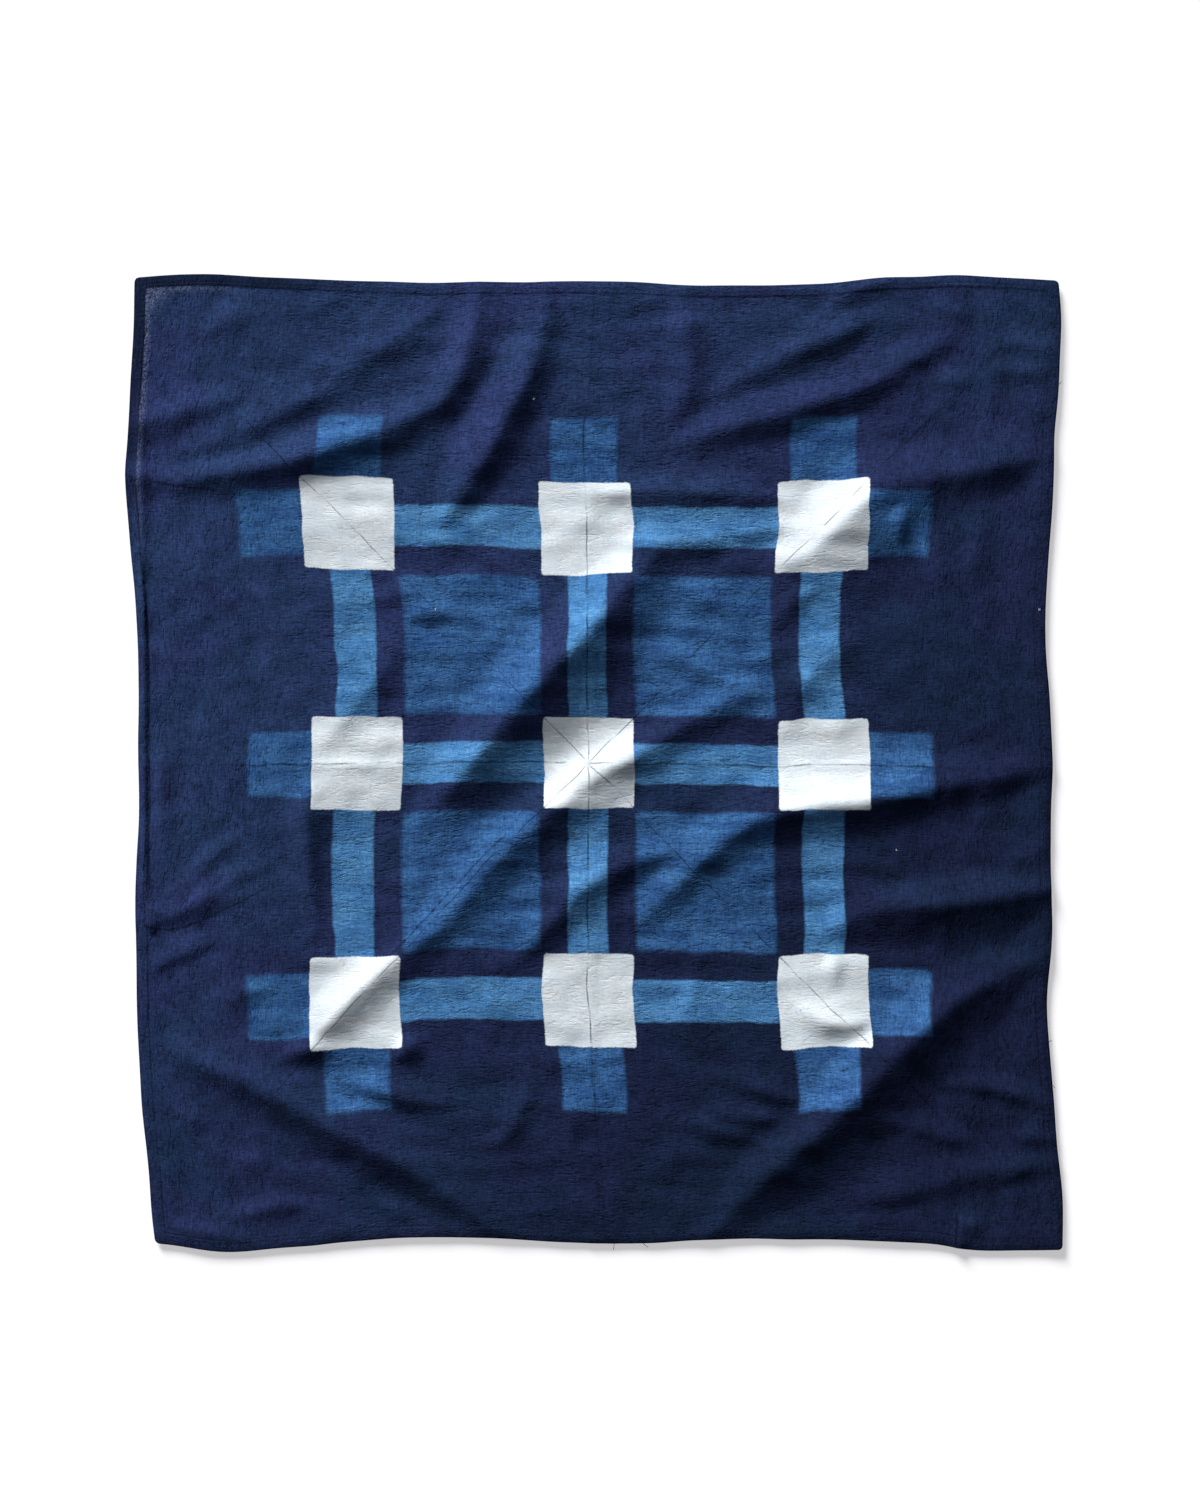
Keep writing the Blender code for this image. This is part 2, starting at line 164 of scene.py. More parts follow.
# The small creases between the folds, laid out in the same way as the folds
CREASES = (
    folded("upper left, under the hem", 11, 8, (-170, 257, 0), (-155, 266, 1.4), (-141, 271, 0)),
    folded("upper left, by the corner", 14, 10, (-231, 245, 0), (-213, 255, 1.4), (-196, 259, 0)),
    folded("left hem, inner edge", 5, 2.6, (-256, -95, 2.0), (-259.5, -68, 1.6), (-260.5, -21, 1.2),
           (-260.5, 36, 1.1), (-261, 94, 1.4), (-261, 129, 2), (-262, 158, 2.4), (-263, 200, 1.2),
           (-262, 240, 0)),
    folded("left, beside the hem", 7, 8, (-248, -62, 0), (-251, -21, 1.7), (-252, 20, 0)),
    folded("left, first ray", 9, 5, (-246, -90, 0), (-226, -77, 1.1), (-205, -66, 1.3),
           (-184, -57, 0)),
    folded("left, second ray", 8, 7, (-247, -84, 0), (-237, -70, 1.3), (-219, -53, 1.3),
           (-203, -40, 0)),
    folded("left of the middle, slanting", 26, 17, (-160, 8, 0), (-138, 34, 3), (-120, 58, 3),
           (-112, 80, 0)),
    folded("left of the middle, upright", 14, 14, (-162, -97, 1.5), (-165, -62, 3.6),
           (-167, -32, 5), (-166, -10, 0)),
    folded("left of the middle, level", 11, 10, (-112, 87, 0), (-95, 87, 2), (-77, 91, 0)),
    folded("left of the middle, faint", 11, 10, (-109, 62, 0), (-89, 64, 1.4), (-66, 60, 0)),
    folded("left, below the pinch", 12, 7, (-258, -120, 0.4), (-244, -112, 2.0), (-228, -106, 1.4),
           (-214, -103, 0)),
    folded("lower left, high", 11, 10, (-210, -137, 0), (-199, -131, 1.7), (-186, -131, 0)),
    folded("lower left, beside the long crease", 11, 10, (-186, -172, 0), (-168, -166, 3.2),
           (-150, -166, 0)),
    folded("lower left, short and steep", 10, 11, (-118, -171, 0), (-108, -165, 3), (-99, -156, 0)),
    folded("lower left, level", 14, 8, (-144, -184, 0), (-124, -190, 2.8), (-98, -196, 2.4),
           (-72, -196, 0)),
    folded("lower left, curled", 11, 11, (-69, -223, 0), (-51, -215, 2.2), (-42, -198, 2.5),
           (-37, -183, 0)),
    folded("bottom middle, upright", 11, 11, (-13, -227, 0), (-13, -209, 2), (-8, -192, 0)),
    folded("lower left corner", 11, 10, (-248, -199, 0), (-233, -206, 1.4), (-219, -213, 0)),
    folded("lower left, over the hem", 8, 8, (-212, -262, 0), (-194, -258, 2), (-178, -255, 2.2),
           (-163, -255, 0)),
    folded("bottom, left of the middle", 10, 8, (-129, -254, 0), (-115, -259, 1.4),
           (-103, -263, 0)),
    folded("lower left corner, along the hem", 7, 7, (-245, -267, 0.8), (-225, -271, 2),
           (-202, -275, 0.8)),
    folded("lower right of the middle, upper", 11, 10, (70, -182, 0), (87, -185, 2.5),
           (105, -193, 1.7), (119, -195, 0)),
    folded("lower right of the middle, lower", 10, 10, (61, -198, 0), (81, -203, 2.5),
           (99, -206, 2.8), (110, -203, 0)),
    folded("lower right of the middle, faint", 11, 10, (46, -207, 0), (64, -210, 2.4),
           (84, -215, 2.2), (99, -216, 0)),
    folded("below the middle, upright", 12, 17, (55, -160, 1.1), (55, -137, 2.2), (60, -114, 1.1)),
    folded("right of the lower middle", 11, 10, (110, -136, 0), (128, -147, 2.5), (145, -151, 2.2),
           (162, -149, 0)),
    folded("right of the lower middle, upright", 8, 10, (139, -131, 0), (138, -117, 2.2),
           (141, -102, 0)),
    folded("lower right, upper line", 11, 7, (206, -186, 0.4), (224, -187, 2.2), (240, -191, 2.4),
           (258, -197, 0.6)),
    folded("lower right, middle line", 12, 8, (165, -206, 0), (183, -210, 2), (202, -216, 2.2),
           (222, -222, 0)),
    folded("lower right, by the hem", 10, 8, (235, -240, 0.6), (252, -234, 1.7), (266, -232, 0.8)),
    folded("lower right corner", 7, 8, (216, -275, 0.6), (218, -267, 1.7), (226, -260, 0)),
    folded("right, by the hem", 11, 10, (235, -61, 0), (249, -55, 1.7), (261, -45, 0.8)),
    folded("top right, slanting up to the hem", 10, 10, (131, 257, 0), (142, 268, 2.2),
           (155, 275, 1.7), (168, 278, 0.8)),
    folded("top right, faint", 10, 8, (191, 265, 0), (206, 262, 1.4), (217, 255, 0)),
    folded("upper right corner, higher", 11, 10, (229, 242, 0), (243, 243, 1.7), (261, 239, 0.6)),
    folded("upper right corner, lower", 10, 10, (226, 228, 0), (240, 227, 2), (258, 226, 0.6)),
    folded("upper right, small", 8, 8, (194, 218, 0), (203, 221, 1.3), (212, 223, 0)),
    folded("right, short and upright", 7, 10, (177, 124, 0), (176, 138, 3.1), (179, 152, 0)),
    folded("right, long and upright", 11, 11, (197, 94, 0), (195, 117, 1.3), (199, 140, 0)),
    folded("right, long and upright, outer", 11, 11, (220, 94, 0), (218, 117, 1.3), (223, 143, 0)),
    folded("above the middle, upper", 14, 15, (-2, 155, 1.0), (38, 157, 3.2), (87, 155, 2.8),
           (113, 152, 0)),
    folded("above the middle, lower", 15, 13, (3, 127, 0), (38, 128, 2.6), (84, 132, 2.4),
           (119, 139, 0)),
    folded("right of the upper middle, first", 11, 10, (44, 103, 0), (64, 95, 2), (87, 84, 0)),
    folded("right of the upper middle, second", 12, 10, (27, 68, 0), (50, 61, 2.2), (70, 49, 2),
           (87, 42, 0)),
    folded("right of the middle, short", 10, 11, (99, 74, 0), (113, 91, 2.2), (128, 100, 0)),
    folded("right of the middle, long", 19, 17, (113, 20, 0), (119, 42, 3.4), (134, 60, 2.8),
           (154, 69, 1.1)),
    folded("lower right, outer line", 7, 6, (238, -214, 0), (250, -216, 1.6), (265, -217, 0.8)),
    folded("lower left, faint", 11, 10, (-209, -227, 0), (-199, -230, 1.4), (-187, -234, 0)),
    folded("lower right, notch in the hem", 5, 3, (212, -256, 0), (211, -266, 1.6),
           (209, -284, 2.0)),
    folded("bottom, along the hem", 17, 11, (-60, -262, 0), (-36, -258, 1.6), (-8, -260, 1.2),
           (20, -262, 0)),
)

# The sharp lines that the cloth was pressed along when it was folded away
PRESS_LINES = (
    PressLine("upright", -2, -277, -2, 277, 0.45, 1.6),
    PressLine("level", -264, -1, 263, -1, 0.45, 1.6),
    PressLine("upper left slant", -138, 158, -37, 48, 0.4, 1.6),
    PressLine("upper right slant", 232, 240, 165, 172, 0.4, 1.6),
    PressLine("lower left slant", -164, -160, -20, -10, 0.4, 1.6),
)

# The sharpest creases of all, too thin for the grid, painted as dark lines of shade in the colour:
# where each starts and ends on the flat cloth, and how dark it is, from 0 to 1
CREASE_SHADE_LINES = (
    CreaseShadeLine("left hem", -265.8, 160, -267.2, -97, 0.9),
    CreaseShadeLine("left pinch, out of the hem", -267.2, -97, -253, -98, 0.9),
    CreaseShadeLine("left pinch, level", -253, -98, -226, -88, 0.7),
    CreaseShadeLine("left pinch, rising", -226, -88, -193, -71.5, 0.6),
    CreaseShadeLine("upper left pinch", -268, 164, -219, 157, 0.6),
    CreaseShadeLine("lower left slant", -168, -161, -52, -45, 0.7),
    CreaseShadeLine("notch in the bottom hem", 209, -262, 208, -281, 0.8),
)

# The cloth's flat size, in millimetres, before it creased
FLAT_WIDTH = 545.0
FLAT_LENGTH = 565.0

# Grid lines close to the edge follow the hem's section, and the rest are even
HEM_LINES = (0.0, 0.25, 0.6, 1.4, 2.6, 3.8, 4.5, 5.0, 5.6, 6.3, 7.2)
CELLS_ACROSS = 196
CELLS_ALONG = 204

# The hem's section: its rounded rim, as a radius and shares of the hem's thickness, the groove
# that its stitches pull in, and the step down to the single cloth
RIM_RADIUS = 0.6
RIM_MIDDLE = 0.6
RIM_LIFT = 0.4
GROOVE_FROM_EDGE = 4.8
GROOVE_HALF_WIDTH = 0.6
GROOVE_DEPTH = 0.3
STEP_WIDTH = 0.8
CORNER_RADIUS = 2.5

# Soft unevenness: the size of its grain across and along the cloth, and its height
BROAD_GRAIN = Grain("broad swells", 30.0, 26.0, 0.8, 11)
LEVEL_GRAIN = Grain("level crinkles", 9.0, 3.6, 0.30, 12)
UPRIGHT_GRAIN = Grain("upright crinkles", 3.6, 9.0, 0.30, 13)
FINE_GRAIN = Grain("fine crinkles", 3.6, 3.4, 0.14, 14)
PUCKER_GRAIN = Grain("hem puckers", 5.0, 5.0, 0.22, 15)
EDGE_GRAIN_ACROSS = Grain("edge wander, across", 12.0, 12.0, 0.35, 16)
EDGE_GRAIN_ALONG = Grain("edge wander, along", 12.0, 12.0, 0.35, 116)
GRAIN_REACH = 3.0
PUCKER_MIDDLE = 7.0
PUCKER_REACH = 7.0
WANDER_REACH = 9.0

# The crinkles calm down to this share of themselves at the edge, over this many millimetres
EDGE_LIFT = 0.2
EDGE_REACH = 22.0

# How high the right and bottom edges stand off the floor, and how far in the cloth lies flat again
RIGHT_CURL = 2.0
BOTTOM_CURL = 1.2
CURL_REACH = 30.0

# Where the crinkles turn from level in the middle to upright at the sides, from the middle
SIDE_ZONE_START = 150.0
SIDE_ZONE_END = 215.0

# A stitch is a small bead of thread that dips into the cloth at both ends: its rings as shares of
# its half length, and its arch and dip as shares of the thread's radius
STITCH_RINGS = (-1.0, -0.85, -0.5, 0.0, 0.5, 0.85, 1.0)
STITCH_SIDES = 6
STITCH_ARCH = 0.45
STITCH_DIP = 1.2
STITCH_SWAY = 0.12
STITCH_SEED = 21
STITCH_PLACE = GROOVE_FROM_EDGE
UNDYED_STRETCHES = ((-68.0, -51.0), (200.0, 229.0))

# Loose ends of thread: where each leaves the hem, as shares of the cloth, and how far its bend and
# its tip lie from there, in millimetres
THREAD_ENDS = (
    ThreadEnd(0.505, 0.0015, 0.1, -1.6, -0.3, -4.6),
    ThreadEnd(0.536, 0.0015, 1.2, -1.4, 3.6, -3.2),
    ThreadEnd(0.9985, 0.216, 1.2, -0.3, 2.6, 0.5),
    ThreadEnd(0.9985, 0.893, 1.5, 0.4, 2.4, 1.8),
    ThreadEnd(0.9985, 0.170, 1.3, -0.5, 2.4, -1.8),
)
THREAD_SINK = 0.25
THREAD_DROP = 0.55
FIBRE_SIDES = 5

# Specks of lint, as shares of the cloth, and the curl of their fibres in millimetres
LINT_SPECKS = ((0.993, 0.660), (0.330, 0.658), (0.728, 0.240), (0.436, 0.878), (0.831, 0.407))
LINT_SEED = 22
LINT_FIBRES = 5
LINT_POINTS = 6
LINT_STEP = 0.28
LINT_FLATNESS = 0.5
LINT_RADIUS = 0.045

# The noise in the materials: its own seed, the size of its grain in millimetres, and how many finer
# layers it has. The stride keeps the noises apart.
PATTERN_WANDER = (NoiseGrain(1, 30, 30), NoiseGrain(2, 30, 30))
PATTERN_RAGGED = NoiseGrain(3, 1.1, 1.1)
PATTERN_LINE_GAPS = NoiseGrain(4, 14, 14)
DYE_BROAD = NoiseGrain(5, 75, 60, 4.0)
DYE_PATCHES = NoiseGrain(6, 16, 11, 3.0)
DYE_MOTTLE = NoiseGrain(7, 1.5, 1.2, 4.0)
DYE_STREAKS = NoiseGrain(8, 34, 5, 3.0)
WORN_SPECKLE = NoiseGrain(9, 1.1, 1.1, 4.0)
WEFT_SLUBS = NoiseGrain(10, 6.0, 0.9, 3.0)
WARP_SLUBS = NoiseGrain(11, 0.9, 6.0, 3.0)
YARN_WANDER = NoiseGrain(12, 3, 3)
LEVEL_CREPE = NoiseGrain(13, 4.2, 1.5, 3.0)
UPRIGHT_CREPE = NoiseGrain(14, 1.5, 4.2, 3.0)
LEVEL_WRINKLES = NoiseGrain(15, 17, 4.5, 3.0)
UPRIGHT_WRINKLES = NoiseGrain(16, 4.5, 17, 3.0)
WRINKLE_GAPS = NoiseGrain(17, 8, 8)
GRIT = NoiseGrain(18, 1.5, 1.5, 3.0)
LINE_WANDER = NoiseGrain(19, 9, 9)
THREAD_FUZZ = NoiseGrain(20, 0.3, 0.3, 3.0, 0.3)
NOISE_STRIDE = (3.1, 1.7, 2.3)

# The clamped pattern: its middle from the cloth's, how far its outlines drift, how round its
# corners are and how soft its edges, in millimetres
PATTERN_OFF = (2.3, 1.2)
PATTERN_DRIFT = 4.0
SQUARE_ROUNDING = 3.0
SQUARE_BLUR = 0.45
BLOCK_ROUNDING = 5.0
BLOCK_BLUR = 1.8
BAR_BLUR = 1.0
ARM_BLUR = 1.6
ARM_END_BLUR = 2.2

# The thin dark lines along the pattern's folds: half their width, their softness, their gaps, where
# they end, and how dark they are
PATTERN_LINE = (0.45, 0.3)
PATTERN_LINE_SHOWS = Span(0.30, 0.60)
PATTERN_LINE_END = 6.0
PATTERN_LINE_TONE = 0.62

# The painted shade of the sharp creases: how far its lines wind, half their width and softness, and
# the same for the two long pressed ones, which are fainter
LINE_DRIFT = 2.2
CREASE_SHADE_WIDTH = (0.7, 0.5)
PRESSED_SHADE_WIDTH = (0.6, 0.4)
PRESSED_SHADE_TONE = 0.35

# The ground is lighter towards the upper left and darker towards the lower right: the direction of
# the change, and its tone along it
GROUND_LEAN = (0.0026, -0.0026, 0.0)
GROUND_TONE_ACROSS = Span(-1.0, 1.0, 1.5, 0.56)
PATCH_TONE = (0.8, 0.6)
STREAK_SHARE = 0.55

# Each dye's two shades, as shares of its red, green and blue, and where it turns to the second
GROUND_SHADES = ((0.92, 1.06, 1.0), (1.10, 0.96, 1.04))
MID_SHADES = ((0.74, 0.76, 0.82), (1.42, 1.36, 1.22))
LIGHT_SHADES = ((0.72, 0.78, 0.84), (1.30, 1.20, 1.10))
WHITE_SHADES = ((0.95, 0.97, 0.985), (1.02, 1.01, 1.0))
THREAD_SHADES = ((0.7, 0.7, 0.75), (1.4, 1.35, 1.25))
GROUND_TURN = Span(0.38, 0.62)
BLUE_TURN = Span(0.35, 0.65)
WHITE_TURN = Span(0.3, 0.7)
THREAD_TURN = Span(0.3, 0.7)

# How much each kind of texture lightens or darkens the dye, and how much less it does on the white
# and on the light blue. The crinkle, wrinkle and sharp crease tones are painted shade: lighter on
# the crinkles' crests, darker in their hollows, in the wrinkles' grooves and along the creases.
CRINKLE_SHADE_TONE = 0.8
YARN_TONE = 2.2
MOTTLE_TONE = 1.0
GRIT_TONE = 0.5
WRINKLE_SHADE_TONE = 0.16
CREASE_SHADE_TONE = 0.6
TONE_MIDDLE = 2.25
WHITE_CALM = 0.9
LIGHT_CALM = 0.3

# How high each kind of texture stands, in millimetres, and how much lower on the white
YARN_PITCH = 0.45
YARN_DRIFT = 0.5
CRINKLE_BUMP = 0.36
WRINKLE_BUMP = 0.22
GRIT_BUMP = 0.16
YARN_BUMP = 0.32
WEAVE_BUMP = 0.015
WHITE_FLATTER = 0.6
WRINKLE_HALF_WIDTH = 0.05
WRINKLE_SHOWS = Span(0.42, 0.56)

# How rough the yarn is, and how much light the bleached cloth lets through
YARN_ROUGHNESS = (0.2, 0.76)
BLEACHED_GLOW = 0.9
LIGHT_GLOW = 0.5

# The hem's tone by the distance from the edge: its strip, its rim, and a painted shadow in the line
# just inside it, where the hem steps down to the single cloth, with how dark that shadow is along
# the cloth.
# The strip is deeper by the upper left corner.
HEM_STRIP = Span(5.2, 6.6, 0.92, 1.0)
HEM_RIM = Span(0.3, 1.3, 0.70, 1.0)
HEM_STEP_SHADOW_PLACE = 6.9
HEM_STEP_SHADOW = (0.5, 0.3)
HEM_STEP_SHADOW_TONE = Span(0.30, 0.55, 0.10, 0.40)
DEEP_STRIP = Span(6.2, 7.0, 1.0, 0.0)
DEEP_CORNER = Span(60.0, 190.0, 0.6, 0.0)

# The worn upper left corner: the rubbed patch, and the rubbed strips down the side and over the top
WORN_CORNER = Span(25.0, 62.0, 1.0, 0.0)
WORN_CORNER_LEAN = 1.6
WORN_STRIP = Span(7.5, 11.5, 1.0, 0.0)
WORN_STRIP_SIDE = Span(12.0, 16.0, 1.0, 0.0)
WORN_DOWN_SIDE = Span(60.0, 180.0, 0.7, 0.0)
WORN_OVER_TOP = Span(25.0, 75.0, 0.6, 0.0)
WORN_INSIDE_HEM = Span(6.4, 7.2)
WORN_SPECKS = Span(0.42, 0.60)
WORN_TONE = (0.75, 0.12)

# The sewing thread: the pitch of its twist, and the height of the twist and of its fuzz
TWIST_PITCH = 0.5
TWIST_BUMP = 0.02
FUZZ_BUMP = 0.03
THREAD_ROUGHNESS = (0.2, 0.6)

# The stage, in millimetres, the colour of its floor's glow, how far up the sky its pale horizon
# reaches, and how far the camera sees, in metres
FLOOR_HALF = 60000.0
FLOOR_GLOW_COLOUR = (0.98, 0.97, 1.0, 1.0)
HORIZON_LOW = 0.02
HORIZON_HIGH = 0.16
CAMERA_REACH = 100.0


def lengths(default, name, description, low=0.0, high=1.0):
    """A size that a user can change, in metres."""
    return FloatProperty(
        name=name, description=description, default=default, min=low, max=high,
        precision=5, subtype="DISTANCE", unit="LENGTH",
    )


def colour(default, name, description):
    """A colour that a user can change."""
    return FloatVectorProperty(
        name=name, description=description, default=default, min=0.0, max=1.0,
        size=3, subtype="COLOR",
    )


def numbers(default, name, description, high=3.0):
    """A plain number that a user can change."""
    return FloatProperty(name=name, description=description, default=default, min=0.0, max=high)


def angle(degrees, name, description):
    """An angle that a user can change."""
    return FloatProperty(
        name=name, description=description, default=math.radians(degrees),
        subtype="ANGLE", unit="ROTATION",
    )


class BandanaCloth(bpy.types.PropertyGroup):
    """Sizes of the cloth and its hem"""

    sheet: lengths(0.0005, "Sheet", "Thickness of the single cloth", 0.0002, 0.002)
    hem: lengths(0.0011, "Hem", "Thickness of the turned hem", 0.0003, 0.003)
    hem_width: lengths(0.006, "Hem width", "Width of the turned hem", 0.003, 0.02)
    creases: numbers(1.0, "Creases", "Height of the small creases, as a share of their own", 2.0)
    crinkles: numbers(1.0, "Crinkles", "Height of the crinkles, as a share of their own")
    thread: lengths(0.00032, "Thread", "Width of the sewing thread", 0.0001, 0.001)
    stitch: lengths(0.0024, "Stitch", "Length of a stitch", 0.001, 0.006)
    stitch_gap: lengths(0.0006, "Gap", "Gap from one stitch to the next", 0.0, 0.003)


class BandanaDye(bpy.types.PropertyGroup):
    """Colours of the dyed cloth, and sizes of the clamped pattern"""

    ground: colour((0.0104, 0.0186, 0.0545), "Ground", "Indigo of the ground")
    mid: colour((0.0205, 0.0660, 0.1750), "Middle blue", "Blue of the large clamped shapes")
    light: colour((0.0500, 0.1560, 0.3300), "Light blue", "Blue of the bars")
    white: colour((0.5700, 0.6120, 0.6420), "White", "Undyed cloth")
    worn: colour((0.1250, 0.1500, 0.2450), "Worn", "Cloth rubbed pale at the corner")
    pitch: lengths(0.140, "Pitch", "From the middle of one white square to the next", 0.05, 0.2)
    square: lengths(0.027, "Square", "Half the side of a white square", 0.005, 0.08)
    bar: lengths(0.012, "Bar", "Half the width of a light bar", 0.002, 0.05)
    block: lengths(0.041, "Block", "Half the side of a middle blue block", 0.005, 0.08)
    arm: lengths(0.019, "Arm", "Half the width of an outer arm", 0.002, 0.05)
    reach: lengths(0.204, "Reach", "From the middle of the cloth to the end of an arm", 0.1, 0.26)


class BandanaStudio(bpy.types.PropertyGroup):
    """The stage's light, floor and camera"""

    floor: colour((0.48, 0.48, 0.48), "Floor", "Colour of the floor")
    glow: numbers(0.50, "Glow", "Light that the floor gives off")
    sky: colour((0.84, 0.88, 1.0), "Sky", "Colour of the light from all round")
    height: angle(22.0, "Light height", "Angle of the main light above the floor")
    heading: angle(116.0, "Light heading", "Angle of the main light from the right hand side")
    softness: angle(24.0, "Softness", "How wide the main light looks from the cloth")
    key: numbers(1.07, "Key", "Main light on the floor")
    fill: numbers(0.085, "Fill", "Light from all round")
    lens: FloatProperty(name="Lens", description="Focal length", default=135.0, min=10.0)
    view_length: lengths(0.867, "View length", "Length of floor in the picture", 0.3, 3.0)
    aim_x: lengths(0.0035, "Aim across", "Middle of the picture, across", -1.0, 1.0)
    aim_y: lengths(0.0075, "Aim along", "Middle of the picture, along", -1.0, 1.0)


def smooth_line(rows):
    """A smooth curve through a table's rows (Catmull-Rom), as an array of closer rows."""
    knots = np.array(rows, dtype=float)
    padded = np.vstack((2 * knots[0] - knots[1], knots, 2 * knots[-1] - knots[-2]))
    curve = []
    for before, start, end, after in zip(padded, padded[1:], padded[2:], padded[3:]):
        for t in np.arange(CURVE_STEPS) / CURVE_STEPS:
            bend = (2 * before - 5 * start + 4 * end - after) * t ** 2
            twist = (3 * start - before - 3 * end + after) * t ** 3
            curve.append(0.5 * (2 * start + (end - before) * t + bend + twist))
    curve.append(knots[-1])
    return np.array(curve)


def edge_across(edge, along):
    """How far out an edge lies at the given places along it."""
    curve = smooth_line(edge)
    curve = curve[np.argsort(curve[:, 0])]
    return np.interp(along, curve[:, 0], curve[:, 1])


def side_point(edge, v):
    """Points on a side edge; v runs from 0 at the bottom corner to 1 at the top corner."""
    y = edge[-1].along + (edge[0].along - edge[-1].along) * v
    return np.stack((edge_across(edge, y), y), axis=1)


def end_point(edge, u):
    """Points on the top or bottom edge; u runs from 0 at the left corner to 1 at the right."""
    x = edge[0].along + (edge[-1].along - edge[0].along) * u
    return np.stack((x, edge_across(edge, x)), axis=1)


def cloth_plan(u, v):
    """Where the place (u, v) of the square cloth lies on the surface, between its four edges."""
    u_col = u[:, None]
    v_col = v[:, None]
    ends = (1 - v_col) * end_point(BOTTOM_EDGE, u) + v_col * end_point(TOP_EDGE, u)
    sides = (1 - u_col) * side_point(LEFT_EDGE, v) + u_col * side_point(RIGHT_EDGE, v)
    corners = np.array((
        (BOTTOM_EDGE[0].along, BOTTOM_EDGE[0].across),
        (BOTTOM_EDGE[-1].along, BOTTOM_EDGE[-1].across),
        (TOP_EDGE[0].along, TOP_EDGE[0].across),
        (TOP_EDGE[-1].along, TOP_EDGE[-1].across),
    ))
    low = (1 - u_col) * corners[0] + u_col * corners[1]
    high = (1 - u_col) * corners[2] + u_col * corners[3]
    return ends + sides - (1 - v_col) * low - v_col * high


def nearest_on_crest(points, fold):
    """Each point's distance from a fold's crest, the crest's height there, and whether the point
    is on the crest's left hand."""
    crest = smooth_line(fold.crest)
    nearest = np.full(len(points), np.inf)
    top = np.zeros(len(points))
    left_hand = np.zeros(len(points), dtype=bool)
    for start, end in zip(crest, crest[1:]):
        run = end[:2] - start[:2]
        share = np.clip((points - start[:2]) @ run / (run @ run), 0, 1)
        offset = points - start[:2] - share[:, None] * run
        distance = np.hypot(offset[:, 0], offset[:, 1])
        closer = distance < nearest
        nearest = np.where(closer, distance, nearest)
        top = np.where(closer, start[2] + share * (end[2] - start[2]), top)
        left_hand = np.where(closer, run[0] * offset[:, 1] > run[1] * offset[:, 0], left_hand)
    return nearest, np.maximum(top, 0), left_hand


def fold_height(points, fold, radius=CREST_RADIUS):
    """How high one fold lifts the cloth at each point."""
    distance, top, on_gentle_side = nearest_on_crest(points, fold)
    peak = max(point.height for point in fold.crest)
    fullness = TIP_WIDTH_SHARE + (1 - TIP_WIDTH_SHARE) * top / peak
    width = np.where(on_gentle_side, fold.gentle, fold.steep) * fullness
    power = np.where(on_gentle_side, GENTLE_POWER, STEEP_POWER)
    away = np.sqrt(distance ** 2 + radius ** 2) - radius
    return top * np.clip(1 - away / width, 0, 1) ** power


def cloth_height(points):
    """How high the cloth's underside lies, with its folds run together where they meet."""
    lifted = sum(fold_height(points, fold) ** FOLD_BLEND for fold in FOLDS)
    return lifted ** (1 / FOLD_BLEND)


def grid_line_shares(length, cells):
    """Grid lines across one direction, as shares of its length."""
    near = np.array(HEM_LINES)
    even = np.linspace(near[-1], length - near[-1], cells + 1)[1:-1]
    return np.concatenate((near, even, length - near[::-1])) / length


def smooth_step(value, low, high):
    """0 below low, 1 above high, and smooth between."""
    share = np.clip((value - low) / (high - low), 0, 1)
    return share * share * (3 - 2 * share)


def lump_spread(places, size):
    """How much each of a row of lumps, one grain apart, reaches each place."""
    reach = GRAIN_REACH * size
    middles = np.arange(-reach, places[-1] + reach, size)
    return np.exp(-0.5 * ((places[:, None] - middles) / size) ** 2)


def soft_grain(grain, x, y):
    """A grid of soft random unevenness over flat places x (columns) and y (rows)."""
    spread_x = lump_spread(x, grain.across)
    spread_y = lump_spread(y, grain.along)
    random = np.random.default_rng(grain.seed)
    lumps = random.standard_normal((spread_y.shape[1], spread_x.shape[1]))
    field = spread_y @ lumps @ spread_x.T
    return grain.height * (field - field.mean()) / field.std()


def round_corners(plan, from_left, from_right, from_bottom, from_top):
    """The cloth's corners drawn in to a small radius."""
    for across, along, to_x, to_y in (
        (from_left, from_bottom, -1, -1), (from_right, from_bottom, 1, -1),
        (from_left, from_top, -1, 1), (from_right, from_top, 1, 1),
    ):
        reach_x = np.clip(CORNER_RADIUS - across, 0, None)
        reach_y = np.clip(CORNER_RADIUS - along, 0, None)
        longest = np.maximum(reach_x, reach_y)
        straight = np.hypot(reach_x, reach_y)
        share = np.where(straight > 0, longest / np.maximum(straight, 1e-9), 1.0)
        plan[..., 0] += to_x * reach_x * (share - 1)
        plan[..., 1] += to_y * reach_y * (share - 1)
    return plan


def press_height(points):
    """How high the pressed lines stand at each point."""
    total = np.zeros(len(points))
    for line in PRESS_LINES:
        start = np.array((line.start_x, line.start_y))
        run = np.array((line.end_x, line.end_y)) - start
        share = (points - start) @ run / (run @ run)
        offset = points - start - np.clip(share, 0, 1)[:, None] * run
        distance = np.hypot(offset[:, 0], offset[:, 1])
        total += line.height * np.exp(-((distance / line.half_width) ** 2))
    return total


